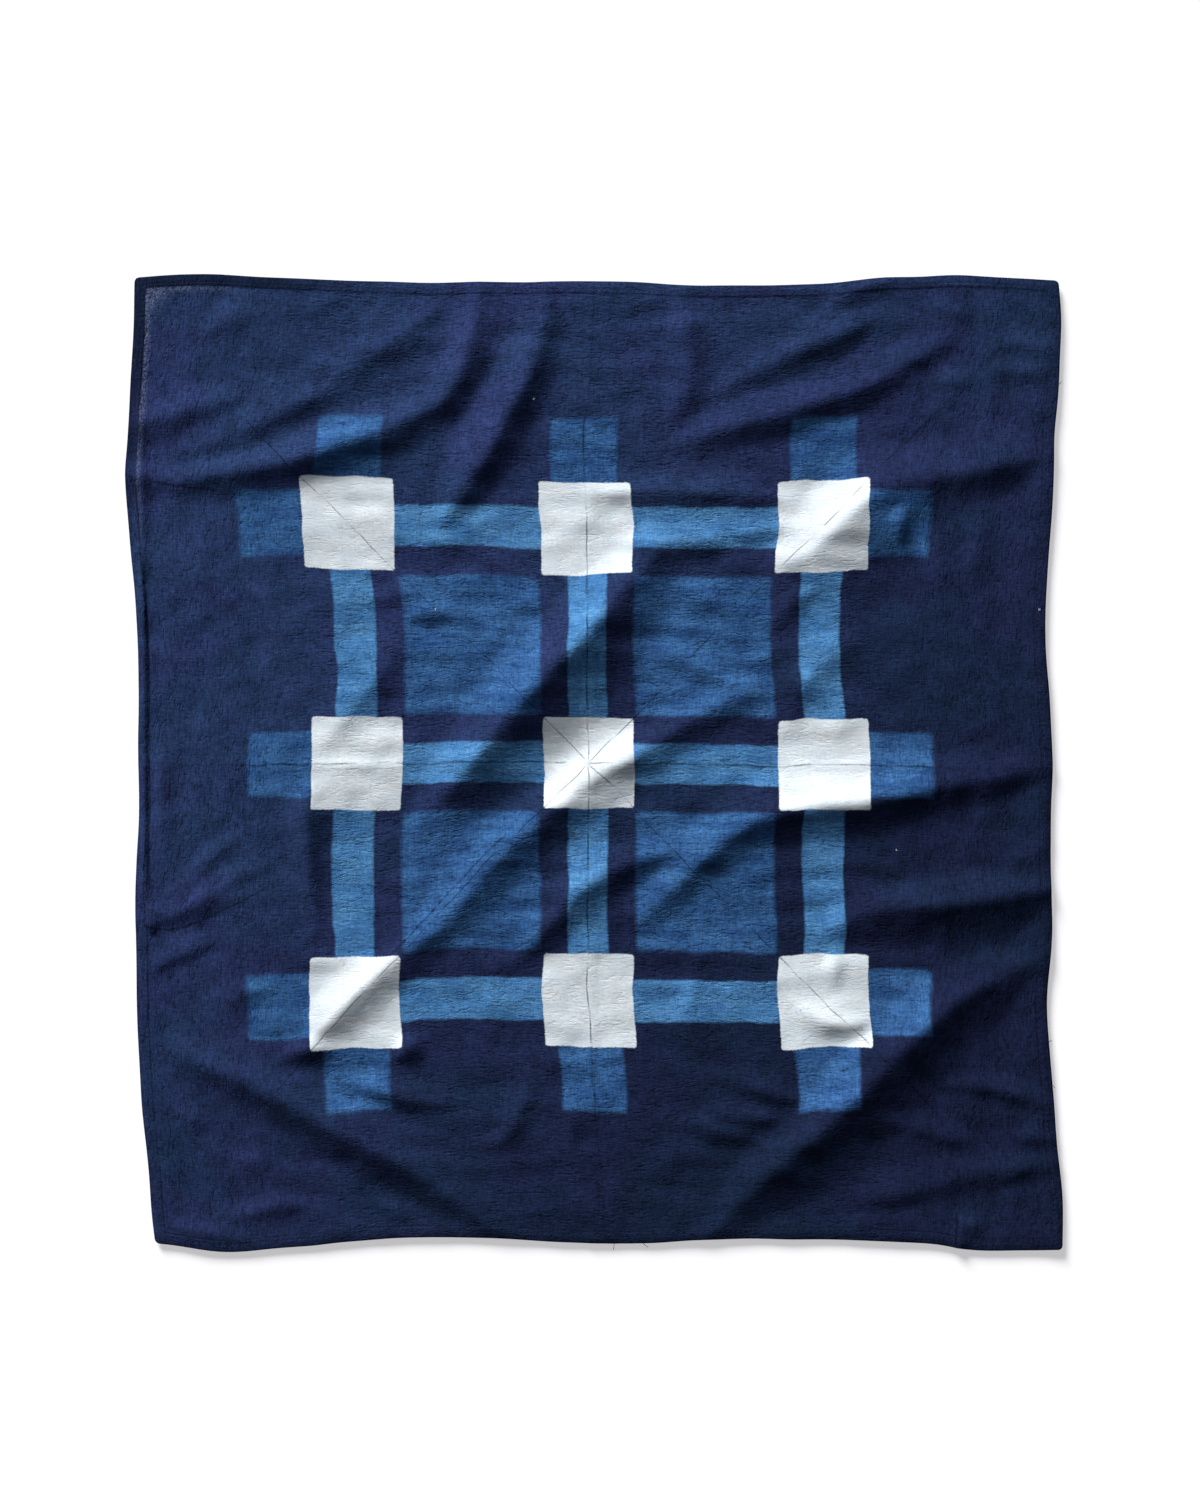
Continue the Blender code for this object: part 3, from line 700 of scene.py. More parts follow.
class ClothGrid:
    """The laid cloth as a grid: where its underside and upper side lie, in millimetres."""

    def __init__(self, sizes):
        width = BOTTOM_EDGE[-1].along - BOTTOM_EDGE[0].along
        length = LEFT_EDGE[0].along - LEFT_EDGE[-1].along
        self.u = grid_line_shares(width, CELLS_ACROSS)
        self.v = grid_line_shares(length, CELLS_ALONG)
        u, v = np.meshgrid(self.u, self.v)
        shape = u.shape
        plan = cloth_plan(u.ravel(), v.ravel()).reshape(*shape, 2)
        from_left, from_right = u * width, (1 - u) * width
        from_bottom, from_top = v * length, (1 - v) * length
        edge = np.minimum(
            np.minimum(from_left, from_right), np.minimum(from_bottom, from_top))
        flat_x, flat_y = self.u * FLAT_WIDTH, self.v * FLAT_LENGTH
        near_edge = np.exp(-edge / WANDER_REACH)
        plan[..., 0] += near_edge * soft_grain(EDGE_GRAIN_ACROSS, flat_x, flat_y)
        plan[..., 1] += near_edge * soft_grain(EDGE_GRAIN_ALONG, flat_x, flat_y)
        plan = round_corners(plan, from_left, from_right, from_bottom, from_top)

        points = plan.reshape(-1, 2)
        curl = np.maximum(
            RIGHT_CURL * (1 - smooth_step(from_right, 0, CURL_REACH)),
            BOTTOM_CURL * (1 - smooth_step(from_bottom, 0, CURL_REACH)),
        )
        lie = cloth_height(points).reshape(shape)
        lie = (lie ** FOLD_BLEND + curl ** FOLD_BLEND) ** (1 / FOLD_BLEND)
        small = sum(fold_height(points, crease, CREASE_RADIUS) for crease in CREASES)
        lie += sizes.creases * (small + press_height(points)).reshape(shape)
        settled = EDGE_LIFT + (1 - EDGE_LIFT) * smooth_step(edge, 0, EDGE_REACH)
        lie += sizes.crinkles * settled * self.crinkles(plan, flat_x, flat_y)
        pucker = np.exp(-(((edge - PUCKER_MIDDLE) / PUCKER_REACH) ** 2))
        puckers = soft_grain(PUCKER_GRAIN, flat_x, flat_y)
        lie += sizes.crinkles * pucker * (puckers - puckers.min())
        self.flat = self.flat_places(plan, lie)

        middle = (points.min(axis=0) + points.max(axis=0)) / 2
        self.plan = plan - middle
        rise, thickness = self.section(edge, sizes)
        self.lower = lie + rise
        self.upper = lie + thickness

    def crinkles(self, plan, flat_x, flat_y):
        """The crinkles all over the cloth: level in its middle and upright at its sides."""
        sides = smooth_step(np.abs(plan[..., 0]), SIDE_ZONE_START, SIDE_ZONE_END)
        broad = soft_grain(BROAD_GRAIN, flat_x, flat_y)
        level = soft_grain(LEVEL_GRAIN, flat_x, flat_y)
        upright = soft_grain(UPRIGHT_GRAIN, flat_x, flat_y)
        fine = soft_grain(FINE_GRAIN, flat_x, flat_y)
        total = np.clip(broad, 0, None) + (1 - sides) * level + sides * upright + fine
        return total - total.min()

    def section(self, edge, sizes):
        """How far the underside rises at the rim, and how thick the cloth is, at each place."""
        sheet = sizes.sheet * MM_PER_METRE
        hem = sizes.hem * MM_PER_METRE
        hem_width = sizes.hem_width * MM_PER_METRE
        inward = np.clip(edge / RIM_RADIUS, 0, 1)
        curve = np.sqrt(1 - (1 - inward) ** 2)
        rise = RIM_LIFT * hem * (1 - curve)
        rim = hem * (RIM_MIDDLE + (1 - RIM_MIDDLE) * curve)
        groove = GROOVE_DEPTH * np.exp(-(((edge - GROOVE_FROM_EDGE) / GROOVE_HALF_WIDTH) ** 2))
        inside = smooth_step(edge, hem_width - STEP_WIDTH, hem_width + STEP_WIDTH)
        return rise, (rim - groove) * (1 - inside) + sheet * inside

    def flat_places(self, plan, lie):
        """Where each place lay when the cloth was flat, from the lengths along its threads."""
        spots = np.dstack((plan, lie))
        across = np.linalg.norm(np.diff(spots, axis=1), axis=2)
        along = np.linalg.norm(np.diff(spots, axis=0), axis=2)
        run_x = np.pad(np.cumsum(across, axis=1), ((0, 0), (1, 0)))
        run_y = np.pad(np.cumsum(along, axis=0), ((1, 0), (0, 0)))
        x = (run_x / run_x[:, -1:] - 0.5) * FLAT_WIDTH
        y = (run_y / run_y[-1:, :] - 0.5) * FLAT_LENGTH
        return np.dstack((x, y))

    def on_top(self, u, v):
        """Places on the upper side, in millimetres, for shares u and v of the cloth."""
        column = np.interp(u, self.u, np.arange(len(self.u)))
        row = np.interp(v, self.v, np.arange(len(self.v)))
        c = np.minimum(column.astype(int), len(self.u) - 2)
        r = np.minimum(row.astype(int), len(self.v) - 2)
        right, up = (column - c)[:, None], (row - r)[:, None]
        spots = np.dstack((self.plan, self.upper))
        low = spots[r, c] * (1 - right) + spots[r, c + 1] * right
        high = spots[r + 1, c] * (1 - right) + spots[r + 1, c + 1] * right
        return low * (1 - up) + high * up


def place_mesh(name, points, faces, material):
    """A new object from points in millimetres and its faces."""
    mesh = bpy.data.meshes.new(name)
    mesh.from_pydata((np.asarray(points) * METRES_PER_MM).tolist(), [], faces)
    mesh.update()
    mesh.shade_smooth()
    mesh.materials.append(material)
    piece = bpy.data.objects.new(name, mesh)
    bpy.context.scene.collection.objects.link(piece)
    return piece


def grid_faces(rows, columns, first, upward):
    """The faces of a grid of points, counted from the first one."""
    r, c = np.divmod(np.arange((rows - 1) * (columns - 1)), columns - 1)
    corner = first + r * columns + c
    ring = np.stack((corner, corner + 1, corner + columns + 1, corner + columns), axis=1)
    return ring if upward else ring[:, ::-1]


def rim_faces(rows, columns, layer):
    """The faces that join the upper layer's edge to the lower layer's."""
    bottom = list(range(columns))
    right = [r * columns + columns - 1 for r in range(1, rows)]
    top = [(rows - 1) * columns + c for c in range(columns - 2, -1, -1)]
    left = [r * columns for r in range(rows - 2, 0, -1)]
    loop = np.array(bottom + right + top + left)
    ahead = np.roll(loop, -1)
    return np.stack((loop + layer, ahead + layer, ahead, loop), axis=1)


class Recipe:
    """A material's nodes, each one linked as it is added."""

    def __init__(self, name):
        self.material = bpy.data.materials.new(name)
        self.material.use_nodes = True
        self.tree = self.material.node_tree
        self.shader = self.tree.nodes["Principled BSDF"]

    def feed(self, socket, value):
        """Link a socket to another, or set its number."""
        if isinstance(value, bpy.types.NodeSocket):
            self.tree.links.new(value, socket)
        else:
            socket.default_value = value

    def node(self, kind, *values, **settings):
        """A node with these settings, its first sockets fed in order; its first output."""
        node = self.tree.nodes.new(kind)
        for name, value in settings.items():
            setattr(node, name, value)
        for socket, value in zip(node.inputs, values):
            self.feed(socket, value)
        return node.outputs[0]

    def math(self, operation, *values):
        return self.node("ShaderNodeMath", *values, operation=operation)

    def vector(self, operation, *values):
        return self.node("ShaderNodeVectorMath", *values, operation=operation)

    def times(self, first, second):
        return self.math("MULTIPLY", first, second)

    def plus(self, first, second):
        return self.math("ADD", first, second)

    def total(self, start, *parts):
        """A number with several values added to it, each one times its share."""
        for value, share in parts:
            start = self.math("MULTIPLY_ADD", value, share, start)
        return start

    def gap(self, first, second):
        """How far apart two values are."""
        return self.math("ABSOLUTE", self.math("SUBTRACT", first, second))

    def along(self, place, direction):
        """How far a place lies in a direction."""
        node = self.tree.nodes.new("ShaderNodeVectorMath")
        node.operation = "DOT_PRODUCT"
        self.feed(node.inputs[0], place)
        self.feed(node.inputs[1], direction)
        return node.outputs["Value"]

    def parts(self, place):
        """How far a place lies across, along and up."""
        node = self.tree.nodes.new("ShaderNodeSeparateXYZ")
        self.feed(node.inputs[0], place)
        return node.outputs

    def attribute(self, name, output):
        """What is stored in the mesh under a name."""
        node = self.tree.nodes.new("ShaderNodeAttribute")
        node.attribute_name = name
        return node.outputs[output]

    def noise(self, place, grain):
        """Noise from 0 to 1."""
        size = (grain.across, grain.along, grain.up)
        scaled = self.vector("MULTIPLY", place, tuple(1 / part for part in size))
        moved = self.vector("ADD", scaled, tuple(grain.seed * part for part in NOISE_STRIDE))
        node = self.tree.nodes.new("ShaderNodeTexNoise")
        self.feed(node.inputs["Vector"], moved)
        node.inputs["Scale"].default_value = 1.0
        node.inputs["Detail"].default_value = grain.detail
        return node.outputs[0]

    def drifting(self, place, grain, reach):
        """A place moved about by noise."""
        drift = self.vector("ADD", self.noise(place, grain), (-0.5, -0.5, -0.5))
        return self.vector("ADD", place, self.tone(drift, reach))

    def between(self, value, span):
        """A span's start below its low, its end above its high, and smooth between."""
        node = self.tree.nodes.new("ShaderNodeMapRange")
        node.interpolation_type = "SMOOTHSTEP"
        for socket, number in zip(node.inputs, (value, *span)):
            self.feed(socket, number)
        return node.outputs[0]

    def winding(self, place, grain):
        """Thin winding lines, 1 along their middles and 0 beside them."""
        away = self.gap(self.noise(place, grain), 0.5)
        return self.between(away, Span(0.0, WRINKLE_HALF_WIDTH, 1.0, 0.0))

    def from_line(self, place, line):
        """How far a place lies from a straight line between two ends."""
        run = Vector((line.end_x - line.start_x, line.end_y - line.start_y, 0.0))
        away = self.vector("SUBTRACT", place, (line.start_x, line.start_y, 0.0))
        share = self.node(
            "ShaderNodeMath", self.along(away, run), run.length_squared,
            operation="DIVIDE", use_clamp=True)
        offset = self.vector("SUBTRACT", away, self.tone(run, share))
        return self.math("SQRT", self.along(offset, offset))

    def inside(self, distance, edge, blur):
        """1 where the distance is less than the edge, 0 beyond it."""
        return self.between(distance, Span(edge - blur, edge + blur, 1.0, 0.0))

    def mix(self, share, first, second):
        """One colour run into another by a share."""
        node = self.tree.nodes.new("ShaderNodeMix")
        node.data_type = "RGBA"
        self.feed(node.inputs[0], share)
        self.feed(node.inputs[6], as_rgba(first))
        self.feed(node.inputs[7], as_rgba(second))
        return node.outputs[2]

    def two_shades(self, share, turn, colour_now, shades):
        """A colour in its first shade, then in its second as the share passes its turn."""
        first, second = (shifted(colour_now, shade) for shade in shades)
        return self.mix(self.between(share, turn), first, second)

    def blend(self, share, first, second):
        """One number run into another by a share."""
        node = self.tree.nodes.new("ShaderNodeMix")
        for place, value in ((0, share), (2, first), (3, second)):
            self.feed(node.inputs[place], value)
        return node.outputs[0]

    def tone(self, colour_socket, share):
        """A colour made lighter or darker by a share."""
        node = self.tree.nodes.new("ShaderNodeVectorMath")
        node.operation = "SCALE"
        self.feed(node.inputs[0], colour_socket)
        self.feed(node.inputs["Scale"], share)
        return node.outputs[0]

    def relief(self, height, strength=1.0):
        """The surface raised by a height in millimetres."""
        bump = self.tree.nodes.new("ShaderNodeBump")
        self.feed(bump.inputs["Strength"], strength)
        bump.inputs["Distance"].default_value = METRES_PER_MM
        self.feed(bump.inputs["Height"], height)
        self.feed(self.shader.inputs["Normal"], bump.outputs[0])

    def finish(self, **sockets):
        """Set or feed the shader's own sockets; underscores in their names stand for spaces."""
        for name, value in sockets.items():
            self.feed(self.shader.inputs[name.replace("_", " ")], value)
        return self.material


def as_rgba(value):
    """A colour with its fourth number, or a socket as it is."""
    return value if isinstance(value, bpy.types.NodeSocket) else (*value[:3], 1.0)


def shifted(value, shade):
    """A colour with its parts changed by shares."""
    return tuple(min(part * share, 1.0) for part, share in zip(value, shade))


def clamp_masks(recipe, flat, dye):
    """Where the clamps kept the dye off: shares of white, of light blue and of middle blue, and of
    the thin dark lines along the pattern's folds."""
    pitch, square, bar, block, arm, reach = (
        size * MM_PER_METRE
        for size in (dye.pitch, dye.square, dye.bar, dye.block, dye.arm, dye.reach)
    )
    ragged = recipe.plus(recipe.noise(flat, PATTERN_RAGGED), -0.5)
    aways = []
    cells = []
    halfway = []
    for part, grain, off in zip(recipe.parts(flat), PATTERN_WANDER, PATTERN_OFF):
        drift = recipe.total(off - PATTERN_DRIFT / 2, (recipe.noise(flat, grain), PATTERN_DRIFT))
        away = recipe.math("ABSOLUTE", recipe.plus(recipe.plus(part, drift), ragged))
        outer = recipe.math("GREATER_THAN", away, pitch / 2)
        aways.append(away)
        cells.append(recipe.math("ABSOLUTE", recipe.total(away, (outer, -pitch))))
        halfway.append(recipe.gap(away, pitch / 2))
    white = recipe.inside(recipe.math("SMOOTH_MAX", *cells, SQUARE_ROUNDING), square, SQUARE_BLUR)
    blocks = recipe.inside(recipe.math("SMOOTH_MAX", *halfway, BLOCK_ROUNDING), block, BLOCK_BLUR)

    bars = []
    arms = []
    for across, along in zip(reversed(cells), aways):
        bars.append(recipe.times(
            recipe.inside(across, bar, BAR_BLUR), recipe.inside(along, pitch, BAR_BLUR)))
        run = recipe.times(
            recipe.inside(across, arm, ARM_BLUR), recipe.inside(along, reach, ARM_END_BLUR))
        arms.append(recipe.times(run, recipe.math("GREATER_THAN", along, pitch)))
    light = recipe.math("MAXIMUM", *bars)
    mid = recipe.math("MAXIMUM", blocks, recipe.math("MAXIMUM", *arms))

    nearest = recipe.math("MINIMUM", recipe.math("MINIMUM", *aways), recipe.gap(*aways))
    shows = recipe.between(recipe.noise(flat, PATTERN_LINE_GAPS), PATTERN_LINE_SHOWS)
    within = recipe.inside(recipe.math("MAXIMUM", *aways), reach, PATTERN_LINE_END)
    lines = recipe.times(recipe.times(recipe.inside(nearest, *PATTERN_LINE), shows), within)
    return white, light, mid, lines


def pattern_colour(recipe, flat, dye, masks, broad):
    """Uneven indigo, with the clamped pattern in its two blues and its white."""
    white, light, mid, lines = masks
    patches = recipe.noise(flat, DYE_PATCHES)
    depth, base = PATCH_TONE
    # The ground lighter towards the upper left and darker towards the lower right
    across_tone = recipe.between(recipe.along(flat, GROUND_LEAN), GROUND_TONE_ACROSS)
    tone = recipe.times(recipe.total(base, (patches, depth)), across_tone)
    colour_now = recipe.two_shades(broad, GROUND_TURN, dye.ground, GROUND_SHADES)
    colour_now = recipe.tone(colour_now, tone)

    streaks = recipe.times(recipe.noise(flat, DYE_STREAKS), STREAK_SHARE)
    uneven = recipe.total(streaks, (patches, 1 - STREAK_SHARE))
    for mask, share, turn, tint, shades in (
        (mid, uneven, BLUE_TURN, dye.mid, MID_SHADES),
        (light, uneven, BLUE_TURN, dye.light, LIGHT_SHADES),
        (white, patches, WHITE_TURN, dye.white, WHITE_SHADES),
    ):
        colour_now = recipe.mix(mask, colour_now, recipe.two_shades(share, turn, tint, shades))
    return recipe.tone(colour_now, recipe.total(1.0, (lines, -PATTERN_LINE_TONE)))


def hem_tones_and_step_shadow(recipe, edge, broad, from_corner):
    """How light the hem is against the cloth, with a painted shadow along its inner step, and how
    deep its strip is by the upper left.
    """
    # Painted shadow in a line just inside the hem, where it steps down to the single cloth
    from_line = recipe.gap(edge, HEM_STEP_SHADOW_PLACE)
    line = recipe.times(recipe.inside(from_line, *HEM_STEP_SHADOW), recipe.between(broad, HEM_STEP_SHADOW_TONE))
    strip = recipe.math("SUBTRACT", recipe.between(edge, HEM_STRIP), line)
    deep = recipe.times(recipe.between(from_corner, DEEP_CORNER), recipe.between(edge, DEEP_STRIP))
    return recipe.times(strip, recipe.between(edge, HEM_RIM)), recipe.math("SUBTRACT", 1.0, deep)


def worn_share(recipe, flat, edge, from_left, from_top, from_corner):
    """Where the cloth is rubbed pale: the upper left corner, and strips along the hem beside it."""
    corner = recipe.between(recipe.times(from_corner, WORN_CORNER_LEAN), WORN_CORNER)
    strip = recipe.between(edge, WORN_STRIP)
    strips = []
    for onwards, fade, sideways in (
        (from_top, WORN_DOWN_SIDE, from_left), (from_left, WORN_OVER_TOP, from_top),
    ):
        fading = recipe.times(strip, recipe.between(onwards, fade))
        strips.append(recipe.times(fading, recipe.between(sideways, WORN_STRIP_SIDE)))
    patch = recipe.math("MAXIMUM", corner, recipe.math("MAXIMUM", *strips))
    patch = recipe.times(patch, recipe.between(edge, WORN_INSIDE_HEM))
    depth, base = WORN_TONE
    specks = recipe.between(recipe.noise(flat, WORN_SPECKLE), WORN_SPECKS)
    return recipe.times(patch, recipe.total(base, (specks, depth)))


def dyed_colour(recipe, flat, dye, masks, texture):
    """The colour of the cloth: its dye with its texture and painted shade on its crinkles, wrinkles
    and sharp creases, its darker hem with a painted shadow inside it, and its worn corner.
    """
    white, light = masks[:2]
    crinkle, yarn, grit, wrinkle = texture
    broad = recipe.noise(flat, DYE_BROAD)
    colour_now = pattern_colour(recipe, flat, dye, masks, broad)
    # The crinkle, wrinkle and sharp crease parts of this grain are painted shade of the relief
    grain = recipe.total(
        -TONE_MIDDLE, (crinkle, CRINKLE_SHADE_TONE), (yarn, YARN_TONE),
        (recipe.noise(flat, DYE_MOTTLE), MOTTLE_TONE), (grit, GRIT_TONE),
        (wrinkle, -WRINKLE_SHADE_TONE), (painted_crease_shade(recipe, flat), -CREASE_SHADE_TONE))
    depth = recipe.total(1.0, (white, -WHITE_CALM), (light, -LIGHT_CALM))
    colour_now = recipe.tone(colour_now, recipe.total(1.0, (grain, depth)))

    x, y = recipe.parts(flat)[:2]
    side = recipe.math("SUBTRACT", FLAT_WIDTH / 2, recipe.math("ABSOLUTE", x))
    end = recipe.math("SUBTRACT", FLAT_LENGTH / 2, recipe.math("ABSOLUTE", y))
    edge = recipe.math("MINIMUM", side, end)
    from_left = recipe.plus(x, FLAT_WIDTH / 2)
    from_top = recipe.math("SUBTRACT", FLAT_LENGTH / 2, y)
    from_corner = recipe.plus(from_left, from_top)
    for tone in hem_tones_and_step_shadow(recipe, edge, broad, from_corner):
        colour_now = recipe.tone(colour_now, tone)
    worn = worn_share(recipe, flat, edge, from_left, from_top, from_corner)
    return recipe.mix(worn, colour_now, tuple(dye.worn))


def painted_crease_shade(recipe, flat):
    """How far into the painted shade of its sharpest creases the cloth is: 1 in a dark line's
    middle, 0 beside them.
    """
    place = recipe.drifting(flat, LINE_WANDER, LINE_DRIFT)
    x, y = recipe.parts(place)[:2]
    # Painted shade along the two long pressed creases, then along each sharp crease
    upright, level = PRESS_LINES[:2]
    away = recipe.math("MINIMUM", recipe.gap(x, upright.start_x), recipe.gap(y, level.start_y))
    darkest = recipe.times(recipe.inside(away, *PRESSED_SHADE_WIDTH), PRESSED_SHADE_TONE)
    for line in CREASE_SHADE_LINES:
        here = recipe.times(recipe.inside(recipe.from_line(place, line), *CREASE_SHADE_WIDTH), line.dark)
        darkest = recipe.math("MAXIMUM", here, darkest)
    return darkest


def cotton_material(dye):
    """Slubby plain-woven cotton with its dye."""
    recipe = Recipe("dyed cotton")
    flat = recipe.attribute("flat_place", "Vector")
    yarn = recipe.times(
        recipe.plus(recipe.noise(flat, WEFT_SLUBS), recipe.noise(flat, WARP_SLUBS)), 0.5)
    x, y = recipe.parts(recipe.drifting(flat, YARN_WANDER, YARN_DRIFT))[:2]
    over, under = (recipe.math("SINE", recipe.times(part, math.pi / YARN_PITCH)) for part in (x, y))
    weave = recipe.times(over, under)

    sides = recipe.between(recipe.math("ABSOLUTE", x), Span(SIDE_ZONE_START, SIDE_ZONE_END))
    crinkle = recipe.blend(
        sides, recipe.noise(flat, LEVEL_CREPE), recipe.noise(flat, UPRIGHT_CREPE))
    winding = recipe.blend(
        sides, recipe.winding(flat, LEVEL_WRINKLES), recipe.winding(flat, UPRIGHT_WRINKLES))
    wrinkle = recipe.times(winding, recipe.between(recipe.noise(flat, WRINKLE_GAPS), WRINKLE_SHOWS))
    grit = recipe.noise(flat, GRIT)
    height = recipe.total(
        0.0, (crinkle, CRINKLE_BUMP), (wrinkle, -WRINKLE_BUMP), (grit, GRIT_BUMP),
        (yarn, YARN_BUMP), (weave, WEAVE_BUMP))
    masks = clamp_masks(recipe, flat, dye)
    white, light = masks[:2]
    recipe.relief(height, recipe.total(1.0, (white, -WHITE_FLATTER)))
    clear = recipe.math("MAXIMUM", white, recipe.times(light, LIGHT_GLOW))
    depth, base = YARN_ROUGHNESS
    return recipe.finish(
        Base_Color=dyed_colour(recipe, flat, dye, masks, (crinkle, yarn, grit, wrinkle)),
        Subsurface_Weight=recipe.times(clear, BLEACHED_GLOW),
        Subsurface_Radius=(1.0, 1.0, 1.0),
        Subsurface_Scale=0.0006,
        Roughness=recipe.total(base, (yarn, depth)),
        Metallic=0.0,
        IOR=1.45,
        Specular_IOR_Level=0.03,
        Sheen_Weight=0.01,
        Sheen_Roughness=0.5,
    )


def thread_material(name, main, pale, attribute=None):
    """Twisted sewing thread, paler where it missed the dye."""
    recipe = Recipe(name)
    coordinates = recipe.tree.nodes.new("ShaderNodeTexCoord")
    place = recipe.tone(coordinates.outputs["Object"], MM_PER_METRE)
    fuzz = recipe.noise(place, THREAD_FUZZ)
    lengthways = recipe.plus(*recipe.parts(place)[:2])
    twist = recipe.math("SINE", recipe.times(lengthways, 2 * math.pi / TWIST_PITCH))
    recipe.relief(recipe.total(0.0, (fuzz, FUZZ_BUMP), (twist, TWIST_BUMP)))
    shade = recipe.two_shades(fuzz, THREAD_TURN, main, THREAD_SHADES)
    if attribute:
        shade = recipe.mix(recipe.attribute(attribute, "Fac"), shade, pale)
    depth, base = THREAD_ROUGHNESS
    return recipe.finish(
        Base_Color=shade,
        Roughness=recipe.total(base, (fuzz, depth)),
        Specular_IOR_Level=0.12,
        Sheen_Weight=0.02,
    )


def stitch_beads(grid, sizes):
    """The hem's stitches: points, faces and how undyed each point is."""
    random = np.random.default_rng(STITCH_SEED)
    step = (sizes.stitch + sizes.stitch_gap) * MM_PER_METRE
    half = sizes.stitch * MM_PER_METRE / 2
    radius = sizes.thread * MM_PER_METRE / 2
    width = BOTTOM_EDGE[-1].along - BOTTOM_EDGE[0].along
    length = LEFT_EDGE[0].along - LEFT_EDGE[-1].along
    tubes = []
    undyed = []
    for side_length, other, upright, far in (
        (width, length, False, False), (width, length, False, True),
        (length, width, True, False), (length, width, True, True),
    ):
        inset = STITCH_PLACE / other
        run = side_length - 2 * STITCH_PLACE
        count = round(run / step)
        middles = STITCH_PLACE + (np.arange(count) + 0.5) * run / count
        sway = random.uniform(-STITCH_SWAY, STITCH_SWAY, (count, 2)) / other
        sides = []
        for end, drift in ((-half, sway[:, 0]), (half, sway[:, 1])):
            along = (middles + end) / side_length
            place = np.full(count, 1 - inset if far else inset) + drift
            sides.append(grid.on_top(place, along) if upright else grid.on_top(along, place))
        pale = np.zeros(count)
        if far and not upright:
            x = (sides[0][:, 0] + sides[1][:, 0]) / 2
            for low, high in UNDYED_STRETCHES:
                pale[(x > low) & (x < high)] = 1.0
        for start, end, share in zip(sides[0], sides[1], pale):
            tubes.append(thread_bead(start, end, radius))
            undyed.append(np.full(len(tubes[-1][0]), share))
    return *join_tubes(tubes), np.concatenate(undyed)


def thread_bead(start, end, radius):
    """One stitch as a closed bead, with its faces."""
    run = end - start
    ahead = run / np.linalg.norm(run)
    aside = np.cross((0.0, 0.0, 1.0), ahead)
    aside /= np.linalg.norm(aside)
    above = np.cross(ahead, aside)
    turns = np.arange(STITCH_SIDES) * 2 * np.pi / STITCH_SIDES
    ring = np.outer(np.cos(turns), aside) + np.outer(np.sin(turns), above)
    middle = (start + end) / 2
    points = []
    for share in STITCH_RINGS:
        thick = radius * math.sqrt(max(1 - share * share, 0))
        arch = STITCH_ARCH - STITCH_DIP * share * share
        centre = middle + run * share / 2 + above * radius * arch
        points.append(centre[None] if abs(share) == 1 else centre + ring * thick)
    return np.vstack(points), closed_tube_faces(len(STITCH_RINGS) - 2, STITCH_SIDES)


def closed_tube_faces(rings, sides):
    """Faces of a tube whose first and last points are its tips and the rest are rings of points."""
    faces = []
    last = 1 + rings * sides
    for side in range(sides):
        ahead = (side + 1) % sides
        faces.append((0, 1 + ahead, 1 + side))
        for ring in range(rings - 1):
            low = 1 + ring * sides
            faces.append((low + side, low + ahead, low + sides + ahead, low + sides + side))
        faces.append((last, last - sides + side, last - sides + ahead))
    return faces


def fibre_tube(line, radius, sides):
    """A thin closed tube along a line of points, tapering at both tips."""
    ahead = np.gradient(line, axis=0)
    ahead /= np.linalg.norm(ahead, axis=1)[:, None]
    aside = np.cross(ahead, (0.0, 0.0, 1.0))
    aside /= np.maximum(np.linalg.norm(aside, axis=1), 1e-6)[:, None]
    above = np.cross(aside, ahead)
    turns = np.arange(sides) * 2 * np.pi / sides
    points = [line[0] - ahead[0] * radius]
    for centre, first, second in zip(line, aside, above):
        ring = np.outer(np.cos(turns), first) + np.outer(np.sin(turns), second)
        points += list(centre + radius * ring)
    points.append(line[-1] + ahead[-1] * radius)
    return np.array(points), closed_tube_faces(len(line), sides)


def join_tubes(tubes):
    """Several tubes as one list of points and one of faces."""
    points = []
    faces = []
    first = 0
    for tube_points, tube_faces in tubes:
        points.append(tube_points)
        faces += [[first + corner for corner in face] for face in tube_faces]
        first += len(tube_points)
    return np.vstack(points), faces


@functools.cache
def cloth_grid(sizes):
    """The laid cloth for these sizes, made once."""
    return ClothGrid(sizes)


def grid_for(cloth):
    """The laid cloth for the scene's sizes."""
    return cloth_grid(ClothSizes(*(getattr(cloth, size) for size in ClothSizes._fields)))


class BANDANA_OT_hem_stitches(bpy.types.Operator):
    """Sew the hem with a row of small stitches, as one joined piece"""

    bl_idname = "bandana.hem_stitches"
    bl_label = "Hem stitches"
    bl_options = {"REGISTER", "UNDO"}

    def execute(self, context):
        sizes = context.scene.bandana_cloth
        dye = context.scene.bandana_dye
        points, faces, undyed = stitch_beads(grid_for(sizes), sizes)
        thread = thread_material("sewing thread", tuple(dye.ground), tuple(dye.mid), "undyed")
        piece = place_mesh("hem_stitches", points, faces, thread)
        store = piece.data.attributes.new("undyed", "FLOAT", "POINT")
        store.data.foreach_set("value", undyed)
        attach(piece, "root")
        return {"FINISHED"}


